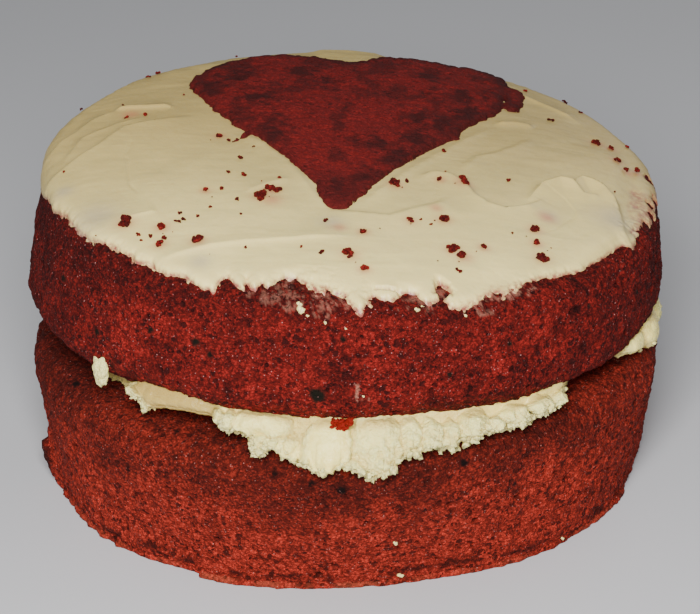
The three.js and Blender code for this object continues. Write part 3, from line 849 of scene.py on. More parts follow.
class CAKE_OT_lower_layer(bpy.types.Operator):
    """Makes the lower layer with its crust, crumb and ragged foot"""

    bl_idname = "cake.lower_layer"
    bl_label = "Lower layer"

    # Columns of the grid round the cake
    COLUMNS = 920
    # Where the foot stands out or in: angle, width in degrees, and how far in mm
    FOOT_TUCKS = ((-84, 24, -3.4), (-122, 7, 0.9), (-152, 16, 0.8), (-169, 3.5, 2.4))
    # Where the wall is less toasted: angle, width in degrees and share
    LIGHT_SIDES = ((-130, 16, 0.3), (-28, 20, 0.5))
    # Where the toasted band reaches lower: angle, width in degrees, and how far in mm
    DARK_FRONT = ((-88, 26, 5.0),)
    # Dark spots: angle, height and width in mm
    SPOTS = (
        (-96, 39.8, 2.6), (-91, 37.8, 3.6), (-70, 42.4, 2.6), (-102, 41.9, 2.4), (-122, 48.0, 2.2),
        (-151, 48.6, 2.6), (-60, 30, 1.6), (-112, 22, 1.6), (-131, 33, 1.8), (-40, 26, 1.8),
        (-77, 28, 1.4), (-98, 14, 1.5),
    )
    # Loose flake at the left: angle, width in degrees, height, and how far it stands out in mm
    FLAKE = (-169.6, 2.4, 13.6, 2.8)
    # Angle at which the foot tore off in a step, and how deep the step is in mm
    STEP_AT = -118.6
    STEP_DEEP = 2.2
    # Angles between which the foot is palest
    PALE_RIM = (-118.6, -74.0)
    # Rings of the foot: height, and how far it ran out in mm
    FOOT_RINGS = ((1.9, 0.1), (1.3, 0.55), (0.4, 0.8), (0.0, 0.5))

    def tucked(self, angle):
        """How far the foot lies out or in from its even round, with the step where it tore."""
        past = self.STEP_AT - degrees_past(angle)
        step = self.STEP_DEEP * smooth(past / 0.7) * smooth((14.0 - past) / 11.0)
        return bump_sum(angle, self.FOOT_TUCKS) - step

    def foot(self, angle, high, out):
        """A ring of the thin foot that ran out under the tin's edge."""
        ring = on_layer("lower", 3.0, angle)
        ragged = 0.7 + 0.9 * fractal(ring, 7.0, 4, 77, 0.7) + 0.4 * np.sin(9 * angle)
        grow = 1.0 + (self.tucked(angle) + out * np.maximum(ragged, -0.4)) / LOWER_BASE
        ring = ring * grow[:, None]
        ring[:, 2] = high
        return ring

    def flake(self, grid, angle):
        """How much each place belongs to the loose flake at the left, from 0 to 1."""
        middle, wide, high, _ = self.FLAKE
        z = grid[..., 2]
        share = np.exp(-((degrees_past(angle, middle) / wide) ** 2))
        return share * np.clip(z / high, 0.0, 1.0) * smooth(high + 1.0 - z)

    def toasted(self, grid, angle, flake):
        """How dark the crust is: a band round the shoulder, scattered patches, a line above the foot."""
        z = grid[..., 2]
        lowest = 20.0 - bump_sum(angle, self.DARK_FRONT) + 7.0 * fractal(grid, 12.0, 4, 160, 0.6)
        toast_and_shade = 0.85 * smooth((z - lowest) / 27.0)
        toast_and_shade = np.maximum(toast_and_shade, 0.35 * smooth((fractal(grid, 8.0, 4, 180, 0.65) - 0.25) / 0.6))
        toast_and_shade = toast_and_shade * (1.0 - bump_sum(angle, self.LIGHT_SIDES))
        line = np.exp(-(((z - 4.2 - 1.2 * fractal(grid, 12.0, 3, 168)) / 1.5) ** 2))
        line = line * smooth(0.45 + 1.6 * fractal(grid, 6.0, 4, 170, 0.65))
        return np.maximum(np.maximum(toast_and_shade, 0.95 * line), smooth(flake / 0.4))

    def pale(self, angle, ring):
        """How pale the foot is round the cake."""
        around = degrees_past(angle)
        front = smooth(around - self.PALE_RIM[0]) * smooth((self.PALE_RIM[1] - around) / 12.0)
        return (0.15 + 0.22 * front) * smooth(0.6 + 1.2 * fractal(ring, 6.0, 3, 178))

    def execute(self, context):
        angle = turned(self.COLUMNS, 0.3)
        rows = even_stations([(0.0, 0.84, 3), (0.84, 1.0, 16), (1.0, 2.0, 18), (2.0, 2.94, 58)])
        grid = on_layer("lower", rows[:, None], angle[None, :])
        tuck = smooth((rows - 2.0) / 0.9)[:, None] ** 2 * self.tucked(angle)[None, :] / LOWER_BASE
        grid[..., :2] *= (1.0 + tuck)[..., None]
        move, pit = sponge_relief(grid, context.scene.cake_sizes, 100, 0.55)
        shown = smooth((rows - 0.7) / 0.1)[:, None]
        streaks = 0.22 * fractal(grid * np.array([0.22, 0.22, 1.0]), 2.2, 3, 140)
        flake = self.flake(grid, angle)
        grid += grid_normals(grid) * ((move + streaks + self.FLAKE[3] * flake) * shown)[..., None]
        rings = [self.foot(angle, high, out) for high, out in self.FOOT_RINGS]
        under = rings[-1] * np.array([0.5, 0.5, 0.0])
        centre = np.tile([LOWER_CENTRE[0], 0.0, 0.0], (len(angle), 1))
        extra = ((0, len(rings) + 2), (0, 0))
        pale = np.tile(self.pale(angle, rings[1]), (len(rings), 1))
        masks = {
            "pit": np.pad(pit * shown, extra),
            "toast_and_shade": np.pad(self.toasted(grid, angle, flake), extra),
            "spot": np.pad(spots_on(grid, angle, self.SPOTS), extra),
            "rim": np.pad(pale, ((len(rows), 2), (0, 0))),
        }
        grid = np.concatenate([grid, np.stack(rings + [under, centre])])
        faces = wrapped_faces(len(grid), len(angle))
        material = lower_crumb_material(context.scene.cake_colours)
        place(mesh_piece("lower_layer", grid, faces, material, masks), "lower_sponge", "lower_sponge")
        return {"FINISHED"}


class CAKE_OT_upper_layer(bpy.types.Operator):
    """Makes the upper layer with its open crumb and pores"""

    bl_idname = "cake.upper_layer"
    bl_label = "Upper layer"

    # Columns of the grid round the cake
    COLUMNS = 920
    # Dark spots: angle, height and width in mm
    SPOTS = (
        (-95, 67.7, 4.6), (-117, 79.6, 3.0), (-114, 76.7, 1.8), (-126, 80.3, 2.0), (-92, 83.5, 2.0),
        (-62, 76, 2.0), (-73, 71, 1.6), (-138, 74, 2.2), (-45, 80, 1.8), (-150, 84, 2.4), (-28, 74, 2.0),
    )
    # Thin smears of icing: angle, height, half width and half height in mm, and strength
    SMEARS = (
        (-95.0, 92.4, 8.0, 1.4, 0.35), (-103.5, 94.2, 5.0, 1.2, 0.3), (-77.0, 91.4, 5.5, 1.3, 0.35),
        (-61.0, 89.4, 6.0, 1.3, 0.45), (-66.5, 88.8, 3.0, 1.6, 0.45), (-88.4, 68.3, 0.5, 2.4, 0.6),
        (-87.4, 66.3, 1.5, 0.4, 0.5),
    )
    # Where the side is painted darker, as painted shade where it turns away from the front light: angle,
    # width in degrees and share
    SHADED_SIDES = ((-172, 26, 0.4), (-2, 22, 0.2), (60, 60, 0.2))
    # Rows of the grid: first station, last station and number of steps
    ROWS = (
        (0.0, 0.88, 3), (0.88, 1.0, 12), (1.0, 2.0, 12), (2.0, 3.0, 40), (3.0, 4.0, 19), (4.0, 4.12, 8),
        (4.12, 5.0, 3),
    )

    def toasted(self, grid, angle):
        """How dark the crust is: at the shoulder, below the icing and in patches; and darker, as painted
        shade, on the sides that turn away from the front light.
        """
        z = grid[..., 2]
        low = 0.25 * smooth((62.0 - z + 3.0 * fractal(grid, 10.0, 2, 360)) / 9.0)
        high = 0.5 * smooth((z - 85.0 + 3.0 * fractal(grid, 9.0, 3, 370)) / 6.0)
        patches = 0.6 * smooth((fractal(grid, 11.0, 4, 380, 0.6) - 0.3) / 0.7)
        toast_and_shade = np.maximum(np.maximum(low, high), patches)
        # Painted shade on the sides that turn away from the front light, over an even darkening with random
        # patches.
        sides = bump_sum(angle, self.SHADED_SIDES)[None, :] + 0.15 + 0.3 * fractal(grid, 9.0, 3, 390)
        return 1.0 - (1.0 - toast_and_shade) * (1.0 - np.clip(sides, 0.0, 0.8))

    def execute(self, context):
        angle = turned(self.COLUMNS, 0.3)
        rows = even_stations(self.ROWS)
        grid = on_layer("upper", rows[:, None], angle[None, :])
        move, pit = sponge_relief(grid, context.scene.cake_sizes, 300, 0.6)
        shown = (smooth((rows - 0.86) / 0.06) * smooth((4.2 - rows) / 0.1))[:, None]
        grid += grid_normals(grid) * (move * shown)[..., None]
        masks = {
            "pit": pit * shown,
            "toast_and_shade": self.toasted(grid, angle),
            "spot": spots_on(grid, angle, self.SPOTS),
            "smear": smears_on(grid, angle, self.SMEARS),
        }
        faces = wrapped_faces(len(grid), len(angle))
        material = upper_crumb_material(context.scene.cake_colours)
        place(mesh_piece("upper_layer", grid, faces, material, masks), "upper_sponge", "upper_sponge")
        return {"FINISHED"}


# Filling
# Lower edge that shows: angle, and height in mm where it crosses a radius of 99 mm
FILLING_EDGE = (
    (-133, 64), (-131.8, 62.0), (-130.7, 59.3), (-130.5, 57.1), (-128.5, 56.5), (-127.7, 54.0),
    (-125.4, 55.4), (-122.6, 56.7), (-119.5, 57.2), (-116.6, 57.3), (-113.4, 57.3),
    (-112.3, 56.3), (-110.7, 56.2), (-109.6, 56.1), (-108.9, 54.7), (-107.6, 53.1), (-106.2, 53.0),
    (-105.8, 51.5), (-105.6, 49.0), (-104.9, 46.8), (-103.9, 47.0), (-102.8, 48.5), (-101.6, 50.3),
    (-100.2, 48.5), (-98.8, 45.7), (-97.4, 45.2), (-95.8, 43.0), (-94.5, 41.5), (-93.3, 41.5), (-91.6, 43.4),
    (-89.9, 43.7), (-88.8, 42.0), (-87.2, 40.9), (-86.2, 39.5), (-85.0, 40.3), (-82.8, 40.4), (-82.1, 42.8),
    (-80.7, 44.9), (-78.7, 47.0), (-76.6, 47.5), (-75.6, 50.5), (-75.0, 47.7), (-73.8, 46.8), (-71.7, 47.4),
    (-70.1, 48.5), (-67.5, 49.2), (-64.7, 47.7), (-62.8, 48.5), (-60.4, 49.4), (-58.7, 49.4), (-55.6, 50.4),
    (-52.7, 51.4), (-48.8, 50.9), (-47.0, 52.8), (-44.4, 54.8), (-42.8, 58), (-34.5, 60), (-32.7, 57.7),
    (-30.2, 55.0), (-26.4, 52.5), (-22.3, 50.1), (-15, 46.0), (-7.3, 41.5), (0, 43), (8, 49), (14, 58),
)
# How far out the filling's lip reaches: angle and radius in mm
FILLING_LIP = (
    (-180, 85), (-150, 84), (-132.8, 84), (-131.4, 94), (-130, 96.5), (-126, 97.2), (-122, 97.0),
    (-114, 96.8), (-111, 97.2), (-107, 98.5), (-104, 101), (-98, 102), (-94, 103), (-84, 103),
    (-79, 101.5), (-74, 101), (-66, 100.5), (-56, 99.5), (-52, 98.8), (-49, 98), (-46.5, 96.5),
    (-44.3, 94), (-42.3, 88), (-34, 84), (-32, 92), (-29, 97), (-24, 99), (-15, 99.8), (-5, 99.5), (6, 97),
    (14, 91), (20, 86), (38, 85), (55, 91), (63, 92), (72, 87), (100, 84), (128, 86), (146, 91), (158, 90),
    (168, 86),
)
# Lumps of the filling: angle, height, half width, half height, how far out in mm
FILLING_LOBES = (
    (-129.5, 58.6, 3.2, 2.8, 2.0), (-126.2, 57.5, 3.0, 2.4, 2.2), (-123.4, 58.0, 2.4, 1.6, 1.6),
    (-111.9, 58.9, 2.4, 2.4, 2.0), (-109.6, 57.6, 2.8, 2.2, 2.2), (-104.0, 57.2, 9.5, 4.4, 2.8),
    (-101.8, 50.6, 8.5, 5.0, 1.6), (-105.0, 48.6, 2.2, 2.2, 2.2), (-92.8, 50.4, 7.6, 9.6, 3.4),
    (-84.6, 50.6, 8.2, 10.0, 3.2), (-88.6, 45.0, 4.0, 4.0, 2.4), (-83.6, 43.6, 5.0, 4.0, 2.6),
    (-79.4, 52.4, 4.4, 6.0, 2.2), (-76.0, 53.4, 3.4, 4.6, 2.4), (-73.0, 51.6, 3.4, 5.0, 2.6),
    (-68.2, 53.2, 6.0, 4.4, 2.6), (-64.0, 51.4, 4.0, 3.6, 2.2), (-60.4, 53.8, 5.6, 3.8, 2.4),
    (-54.6, 54.2, 5.0, 3.2, 1.6), (-49.6, 53.6, 3.8, 2.6, 1.0), (-25.0, 56.0, 7.0, 5.0, 1.2),
    (-14.0, 54.0, 9.0, 8.0, 1.5), (-2.0, 51.0, 9.0, 8.0, 1.5), (7.0, 53.0, 6.0, 5.0, 1.0),
)
# Smooth places: angle, height, half width, half height in mm, and share
FILLING_SMOOTH = (
    (-118.5, 61.0, 11.0, 4.4, 1.0), (-93.0, 52.0, 6.0, 8.0, 0.9), (-104.0, 58.0, 8.0, 4.0, 0.7),
    (-86.0, 55.0, 4.0, 4.0, 0.4), (-99.5, 50.0, 6.0, 3.5, 0.5), (-16.0, 54.0, 22.0, 9.0, 0.9),
)
# The strip that a knife left smooth, set back under the upper layer and painted dark, partly its own
# yellower tone and partly painted shade: angle, where it starts between lip and top, and share
DARK_STRIP = (
    (-134, 0.7, 0.0), (-131.5, 0.6, 0.8), (-128, 0.42, 1.0), (-124, -0.15, 1.0), (-113, -0.15, 1.0),
    (-111.5, 0.3, 0.0), (-90, 1.0, 0.0), (90, 1.0, 0.0),
)
# How far the top of the filling is set back and smooth: angle and share
CALM_TOPS = (
    (-135, 1.0), (-112, 1.0), (-104, 0.3), (-96, 0.2), (-82, 0.2), (-76, 0.6), (-64, 1.0), (-44, 1.0),
    (-30, 0.3), (90, 0.8),
)
# The lump alone at the left: angle, height, distance out, and half its width, depth and height in mm
LEFT_DAB = (-137.1, 62.2, 98.8, 3.2, 2.0, 4.9)
# Masks that the buttercream's material reads
FILLING_MASKS = ("crease_shade", "strip_tone_and_shade", "sleek")


def station_at(radius, flat, rounding, low):
    """The station on a layer's flat or shoulder at a radius, short of its widest place."""
    turn = np.arcsin(np.clip((radius - flat) / rounding, 0.0, 1.0)) / (math.pi / 2)
    on_flat = radius <= flat
    if low:
        return np.where(on_flat, radius / flat, 1.0 + turn)
    return np.where(on_flat, 5.0 - radius / flat, 4.0 - turn)


class CAKE_OT_filling(bpy.types.Operator):
    """Makes the buttercream that is squeezed out between the layers"""

    bl_idname = "cake.filling"
    bl_label = "Filling"

    # Columns of the grid round the cake
    COLUMNS = 1200
    # Radius of the lip's rounding, mm
    LIP_ROUND = 1.3
    # Rows of the grid round the lip, and from there up to the upper layer
    LIP_ROWS = 9
    SKIN_ROWS = 55
    # How far the line of sight rises for each mm outward
    SIGHT_SLOPE = 0.45
    # How many times the lip is evened out round the cake for the skin above it
    CALM_STEPS = 60
    # How far the skin lies in between the lumps, mm
    VALLEY = -1.5
    # Angles between which the filling is squeezed out past the layers
    SHOWN = (-133.0, 14.0)
    # How many torn curds lie along the lip
    CURDS = 420

    def lip(self, angle, ring):
        """Radius and height of the lower lip all round, resting on the lower layer where it is set back."""
        torn = 1.0 - 0.9 * round_table(angle, DARK_STRIP, 2)
        reach = round_table(angle, FILLING_LIP, 1) + 0.7 * torn * fractal(ring, 4.0, 3, 500, 0.6)
        seen = round_table(angle, FILLING_EDGE, 1) + 0.5 * torn * fractal(ring, 1.7, 3, 505, 0.7)
        around = degrees_past(angle)
        seen = np.where((around > self.SHOWN[0]) & (around < self.SHOWN[1]), seen, 30.0)
        flat = TIN_RADIUS - LOWER_SHOULDER
        station = station_at(np.minimum(reach, TIN_RADIUS - 0.5), flat, LOWER_SHOULDER, True)
        skin = on_layer("lower", station, angle)
        return reach, np.maximum(seen - self.SIGHT_SLOPE * (SIDE_RADIUS - reach), skin[:, 2] - 0.2)

    def rows(self, angle, reach, high):
        """The filling's skin from under its lip to the upper layer."""
        flat = UPPER_WIDEST - UPPER_SHOULDER
        top_reach = np.minimum(reach - 1.0, UPPER_WIDEST - 2.8)
        top = on_layer("upper", station_at(top_reach, flat, UPPER_SHOULDER, False), angle, -0.8)
        around = np.stack([np.cos(angle), np.sin(angle), np.zeros_like(angle)], -1)
        rounded = []
        for turn in np.linspace(-1.9, 0.0, self.LIP_ROWS):
            r = reach - self.LIP_ROUND * (1.0 - math.cos(turn))
            z = high + self.LIP_ROUND * (1.0 + math.sin(turn))
            rounded.append(around * r[:, None] + np.stack([0 * z, 0 * z, z], -1))
        first = rounded[-1]
        calm = first.copy()
        for _ in range(self.CALM_STEPS):
            calm = (np.roll(calm, 1, 0) + calm + np.roll(calm, -1, 0)) / 3.0
        rise = np.linspace(0.0, 1.0, self.SKIN_ROWS + 1)[1:, None]
        belly = np.sin(math.pi * rise**0.8) * 1.3
        side = mix(calm[None], top[None], rise[..., None]) + belly[..., None] * around[None]
        side = side + (first - calm)[None] * ((1.0 - rise) ** 4)[..., None]
        return np.concatenate([np.stack(rounded), side])

    def lobes(self, place, angle):
        """How far the lumps stand out, and how deep each place lies between them."""
        warp = 1.1 * np.stack([fractal(place, 6.0, 2, k, 0.6) for k in (510, 520)], -1)
        out = np.full(place.shape[:-1], self.VALLEY)
        beneath = out.copy()
        for middle, high, wide, tall, proud in FILLING_LOBES:
            across = (round_side(angle, middle) + warp[..., 0]) / wide
            d = across**2 + ((place[..., 2] - high + warp[..., 1]) / tall) ** 2
            dome = (1.3 * proud - self.VALLEY) * np.sqrt(np.clip(1.0 - d, 0.0, 1.0)) + self.VALLEY
            beneath = np.maximum(beneath, np.minimum(out, dome))
            out = np.maximum(out, dome)
        between = smooth((0.8 - (out - beneath)) / 0.8) * smooth((beneath - self.VALLEY) / 1.0)
        out = out - 0.6 * between
        near, following, _ = cells(place + 1.6 * soft_noise(place, 3.0, 525)[..., None], 6.5, 530)
        backs = (np.abs(degrees_past(angle, -62.0)) > 76.0) * 1.0
        out = out + (0.2 + 1.4 * backs) * (0.55 - near)
        valley = np.maximum(0.85 * smooth((0.9 - out) / 2.2), 0.9 * between)
        return out, valley, smooth((0.10 - (following - near)) / 0.10)

    def sleekness(self, side, row, angle, strip, calm):
        """How smooth the skin is: in its smooth places, on the dark strip, and along a calm top."""
        sleek = np.zeros(side.shape[:2])
        for middle, height, wide, tall, share in FILLING_SMOOTH:
            d = (round_side(angle, middle) / wide) ** 2 + ((side[..., 2] - height) / tall) ** 2
            sleek = np.maximum(sleek, share * smooth((1.25 - d) / 0.6))
        return np.maximum(np.maximum(sleek, strip), calm * smooth((row - 0.5) / 0.25))

    def raised(self, side, row, angle, lumps, torn):
        """The skin with its lumps pushed out, along the line of sight at the lip, and its torn places."""
        normal = -grid_normals(side)
        outward = np.stack([np.cos(angle), np.sin(angle), np.full_like(angle, self.SIGHT_SLOPE)], -1)
        outward = mix(outward[None], normal, smooth((row - 0.1) / 0.3)[..., None])
        return side + outward * lumps[..., None] + normal * torn[..., None]

    def execute(self, context):
        curd = context.scene.cake_sizes.curd_depth * 1000.0
        angle = turned(self.COLUMNS, 0.3)
        ring = LIP_RADIUS * np.stack([np.cos(angle), np.sin(angle), np.zeros_like(angle)], -1)
        reach, high = self.lip(angle, ring)
        side = self.rows(angle, reach, high)
        row = np.arange(len(side))[:, None] / (len(side) - 1.0)
        calm = round_table(angle, CALM_TOPS, 1)
        ends = smooth(row / 0.1) * smooth((1.0 - row) / (0.08 + 0.3 * calm))
        out, valley, crack = self.lobes(side, angle)
        strip = smooth((row - round_table(angle, DARK_STRIP, 1)) / 0.12) * round_table(angle, DARK_STRIP, 2)
        sleek = self.sleekness(side, row, angle, strip, calm)
        rough = (1.0 - 0.93 * sleek) * (0.45 + 0.55 * smooth((0.7 - row) / 0.5))
        ragged = fractal(side, 2.1, 4, 550, 0.6) + 0.9 * fractal(side, 5.0, 2, 545)
        ridges = 0.32 - np.abs(fractal(side, 2.6, 3, 560, 0.6))
        lumps = out * (curd / CURD_DEPTH) * (1.0 - 0.9 * strip) * ends
        torn = rough * (0.9 * ragged + 1.9 * ridges) * smooth(row / 0.05) - 0.3 * crack * rough
        side = self.raised(side, row, angle, lumps, torn)
        under = side[0] * np.array([0.86, 0.86, 1.0]) + np.array([0.0, 0.0, 0.3])
        inner_low = on_layer("lower", 0.82, angle, -0.6)
        inner_high = on_layer("upper", 4.24, angle, -1.0)
        grid = np.concatenate([inner_low[None], under[None], side, inner_high[None]])
        # Painted shade: darker just under the upper layer, between the lumps, in cracks and in torn hollows.
        near_top = smooth((row - 0.76 + 0.2 * calm) / 0.14) * smooth(0.85 + fractal(side, 5.0, 3, 585))
        crease_shade = np.maximum(np.maximum(valley * (1.0 - 0.3 * sleek), near_top), 0.5 * crack * rough)
        crease_shade = np.maximum(crease_shade, 0.4 * smooth((-0.1 - torn) / 0.6) * rough)
        masks = {
            name: np.pad(mask, ((2, 1), (0, 0))) for name, mask in zip(FILLING_MASKS, (crease_shade, strip, sleek))
        }
        faces = wrapped_faces(len(grid), len(angle), closed_rows=True)[:, ::-1]
        material = buttercream_material(context.scene.cake_colours)
        place(mesh_piece("buttercream_filling", grid, faces, material, masks), "filling", "filling")
        self.torn_bits(material, angle, side, reach)
        self.left_dab(material)
        return {"FINISHED"}

    def torn_bits(self, material, angle, side, reach):
        """Small torn curds along the lower lip."""
        draw = np.random.default_rng(12)
        strip = (round_table(angle, DARK_STRIP, 1) < 0.3) * round_table(angle, DARK_STRIP, 2)
        right_dab = np.abs(degrees_past(angle, -8.0)) < 27.0
        share = (reach > 95.0) * (1.0 - 0.95 * strip) * (1.0 - 0.8 * right_dab)
        columns = draw.choice(len(angle), self.CURDS, p=share / share.sum())
        places = side[draw.integers(2, 14, self.CURDS), columns]
        radii = 0.22 + 0.95 * draw.uniform(0.0, 1.0, self.CURDS) ** 2.2
        squash = draw.uniform(0.6, 1.25, (self.CURDS, 3))
        points, faces = lumps_mesh(places, radii, 0.85, 560, squash)
        masks = blank_masks(points, *FILLING_MASKS)
        place(mesh_piece("buttercream_curds", points, faces, material, masks), "filling")

    def left_dab(self, material):
        """The torn lump of buttercream alone at the left."""
        angle, high, radius, across, deep, tall = LEFT_DAB
        points, faces = ball(5)
        torn = 0.16 * fractal(points, 0.9, 3, 590, 0.6) + 0.07 * fractal(points, 0.3, 2, 595)
        near, _, _ = cells(points, 0.62, 597)
        shape = points * (1.0 + torn + 0.16 * (0.5 - near))[:, None]
        blunt = np.sqrt(1.0 - 0.97 * points[:, 2] ** 6) / np.sqrt(1.0 - 0.93 * points[:, 2] ** 2)
        narrow = blunt * (0.85 + 0.12 * points[:, 2]) * (1.0 + 0.12 * np.sin(5.0 * points[:, 2] + 1.0))
        turn = math.radians(angle)
        outward = np.array([math.cos(turn), math.sin(turn), 0.0])
        beside = np.array([-math.sin(turn), math.cos(turn), 0.0])
        placed = outward * radius + np.array([LOWER_CENTRE[0], 0.0, high])
        placed = placed + np.outer(shape[:, 0] * across * narrow, beside)
        placed = placed + np.outer(shape[:, 1] * deep, outward)
        placed[:, 2] += shape[:, 2] * tall
        masks = blank_masks(points, *FILLING_MASKS)
        place(mesh_piece("left_dab", placed, faces, material, masks), "filling")


# Icing
# Its edge: angle in degrees, and how far past the flat top it reaches down the rim in mm
ICING_EDGE = (
    (-181, 12), (-172, 9.7), (-163, 4.7), (-160, 5.5), (-157.5, 4.2), (-155.6, 3.1), (-150.6, 3.7),
    (-146.6, 3.7), (-144.5, 3.2), (-142.2, 2.6), (-139, 1.5), (-135.5, 1.6), (-133.2, 1.5), (-132.1, 2.5),
    (-130.5, 1.9), (-129, 1.3), (-126.6, 2.4), (-124.1, 2.3), (-121.6, 1.4), (-119.1, 2.8), (-116.6, 3.2),
    (-115.4, 3.3), (-115, 1.9), (-115, -0.9), (-114.1, -2.7), (-113.1, -2.1), (-111.9, -0.7), (-110, 0.7),
    (-110.5, -3.6), (-109.2, -0.9), (-108, -0.7), (-107.5, -3.9), (-106, -2.1), (-105.4, -2.7),
    (-104.9, -5.4), (-103.6, -7.7), (-101.2, -8.3), (-100.1, -6.6), (-98.4, -5.4), (-96.8, -3.3),
    (-94.9, -4.5), (-92.6, -3.9), (-91.5, -2.4), (-90.8, 0.2), (-89.9, 2.2), (-88.6, 2.9), (-87.6, 2.3),
    (-87.1, -1.5), (-86.5, -2.7), (-85.2, -1.2), (-83.1, -0.7), (-81.9, -2.1), (-81.4, -3.6), (-79.8, -3.9),
    (-78.4, -3), (-77.9, -0.4), (-76.8, 0.7), (-75.4, 0.2), (-74, -0.9), (-73.4, 0.6), (-73, 2.6),
    (-71.6, 3.2), (-70, 2.9), (-68.2, 2.2), (-66.1, 1.7), (-62.8, 1.0), (-58.9, -0.4), (-55.8, -1.2),
    (-52.8, -1.5), (-48.5, -0.1), (-44, 1.3), (-40.8, 1.0), (-37.4, 1.0), (-33, 1.0), (-29.6, 1.6),
    (-28.2, 3.3), (-25.9, 3.0), (-24, 1.3), (-19.2, 1.9), (-15.4, 3.6), (-10.2, 5.4), (-2.2, 7.7),
    (10, 5), (25, 3.5), (40, 5), (52, 2), (63, 4.5), (75, 3), (88, 6), (100, 3), (112, 4.5), (125, 2.5),
    (138, 5.5), (150, 4), (162, 7), (172, 9.5),
)
# Where the edge is smeared thin rather than cut: angle, width and share
EDGE_SMEARS = (
    (-96, 4, 1.0), (-88, 2, 0.7), (-63, 7, 1.0), (-149, 9, 0.25), (-12, 13, 1.0), (60, 30, 0.5),
    (150, 30, 0.7),
)
# Where the icing is thin along the rim: angle, width and share
RIM_THIN = ((-8, 17, 0.85), (172, 20, 0.5), (75, 30, 0.3), (120, 14, 0.4), (-63, 6, 0.5), (-97, 4, 0.5))
# Holes through the icing: x, y, and the half widths in mm
ICING_HOLES = (
    (29.0, -83.0, 2.0, 2.8), (12.9, -86.0, 2.4, 0.45), (97.0, -21.0, 1.3, 1.8), (98.5, -9.0, 1.0, 2.6),
    (97.5, 4.0, 1.0, 2.4), (96.0, -14.0, 0.8, 1.4),
)
# Knife marks: points in mm, the crest's height, and how far it falls away on its left and on its right
KNIFE_MARKS = (
    (((-90, -25), (-82, -13), (-74, -4), (-67, 8), (-55, 13), (-44, 18)), 0.8, 0.9, 7.0),
    (((-93, -8), (-86, 8), (-78, 19), (-66, 29)), 0.5, 1.2, 3.0),
    (((-86, -13), (-80, 5), (-70, 13), (-58, 20)), 0.35, 1.0, 2.5),
    (((-72, 25), (-66, 27), (-60, 26), (-51, 25)), 0.8, 4.0, 0.9),
    (((-63, 3), (-65, -11), (-63, -29), (-59, -38)), -0.3, 0.6, 0.6),
    (((-58, -74), (-49, -72), (-37, -68), (-25, -66), (-9, -64), (6, -62)), 0.6, 6.0, 1.0),
    (((-65, -51), (-59, -49), (-53, -47)), 0.35, 3.0, 0.9),
    (((-28, -38), (-22, -33), (-14, -29)), 0.35, 3.0, 0.9),
    (((-4, -46), (1, -48), (7, -49), (15, -50), (22, -45), (29, -41), (34, -35)), 0.55, 0.7, 4.0),
    (
        ((22, -27), (26, -23), (29, -21), (34, -22), (38, -27), (41, -34), (45, -39), (50, -41), (56, -38),
         (63, -30)), 0.9, 0.7, 5.0,
    ),
    (((36, -18), (39, -13), (43, -6), (49, -2), (55, 4), (62, 14)), 0.4, 0.6, 4.0),
    (
        ((54, -34), (58, -30), (62, -23), (67, -20), (71, -21), (74, -16), (78, -17), (81, -19), (84, -25),
         (85, -33), (85, -42), (81, -52), (76, -59), (70, -68)), 1.7, 0.8, 6.0,
    ),
    (((66, -18), (69, -20), (72, -22), (74, -25), (80, -24)), 0.5, 0.6, 3.5),
    (((-33, 4), (-25, -2), (-17, -14), (-13, -24), (-7, -39), (-2, -49)), 0.5, 2.5, 4.0),
    (((5, -46), (15, -30), (27, -12), (40, 6), (50, 20)), 0.5, 2.5, 3.0),
    (((50, 22), (57, 24), (63, 22)), 0.6, 2.0, 1.2),
    (((-10, 88), (4, 90), (18, 88)), 1.0, 5.0, 5.0),
    (((40, 62), (62, 52), (80, 34)), 0.5, 4.0, 1.2),
    (((-60, 60), (-46, 72), (-30, 84)), 0.5, 1.2, 4.0),
)
# Masks that the icing's material reads
ICING_MASKS = ("thin", "rust", "grey", "far", "flat")


def on_flat_top(x, y):
    """How much a place lies on the flat of the top rather than near its rim."""
    return smooth((RIM_RADIUS - 5.0 - np.hypot(x, y)) / 6.0)


def icing_relief(x, y):
    """Height of the knife's marks and waves over the smooth icing."""
    wave = 0.25 * np.sin(0.09 * x + 1) * np.cos(0.08 * y) + 0.15 * np.sin(0.17 * x - 0.12 * y)
    for path, high, left, right in KNIFE_MARKS:
        away, side, at = along_path(x, y, path)
        fade = smooth(np.minimum(at, 1.0 - at) / 0.2)
        wave = wave + 1.8 * high * fade * np.exp(-away / np.where(side > 0, left, right))
    flat = np.stack([x, y, np.zeros_like(x)], -1)
    drawn = np.stack([x * 0.15, y + 2.5 * soft_noise(flat, 30.0, 701), np.zeros_like(x)], -1)
    return wave + 0.05 * on_flat_top(x, y) * fractal(drawn, 2.8, 3, 705) + 0.12 * fractal(flat, 9.0, 3, 715)


def icing_body(station, thick):
    """Thickness of the icing, which falls off toward the rim."""
    return mix(thick, 1.5, smooth((station - 0.7) / 0.6))


def icing_level(x, y, thick):
    """Height of the smooth icing over a place on the top."""
    r = np.hypot(x - RIM_CENTRE[0], y - RIM_CENTRE[1])
    plane = RIM_HIGH + RIM_TILT[0] * x + RIM_TILT[1] * y
    return plane + top_rise(r) + 0.35 + icing_body(r / (RIM_RADIUS - RIM_ROUND), thick)


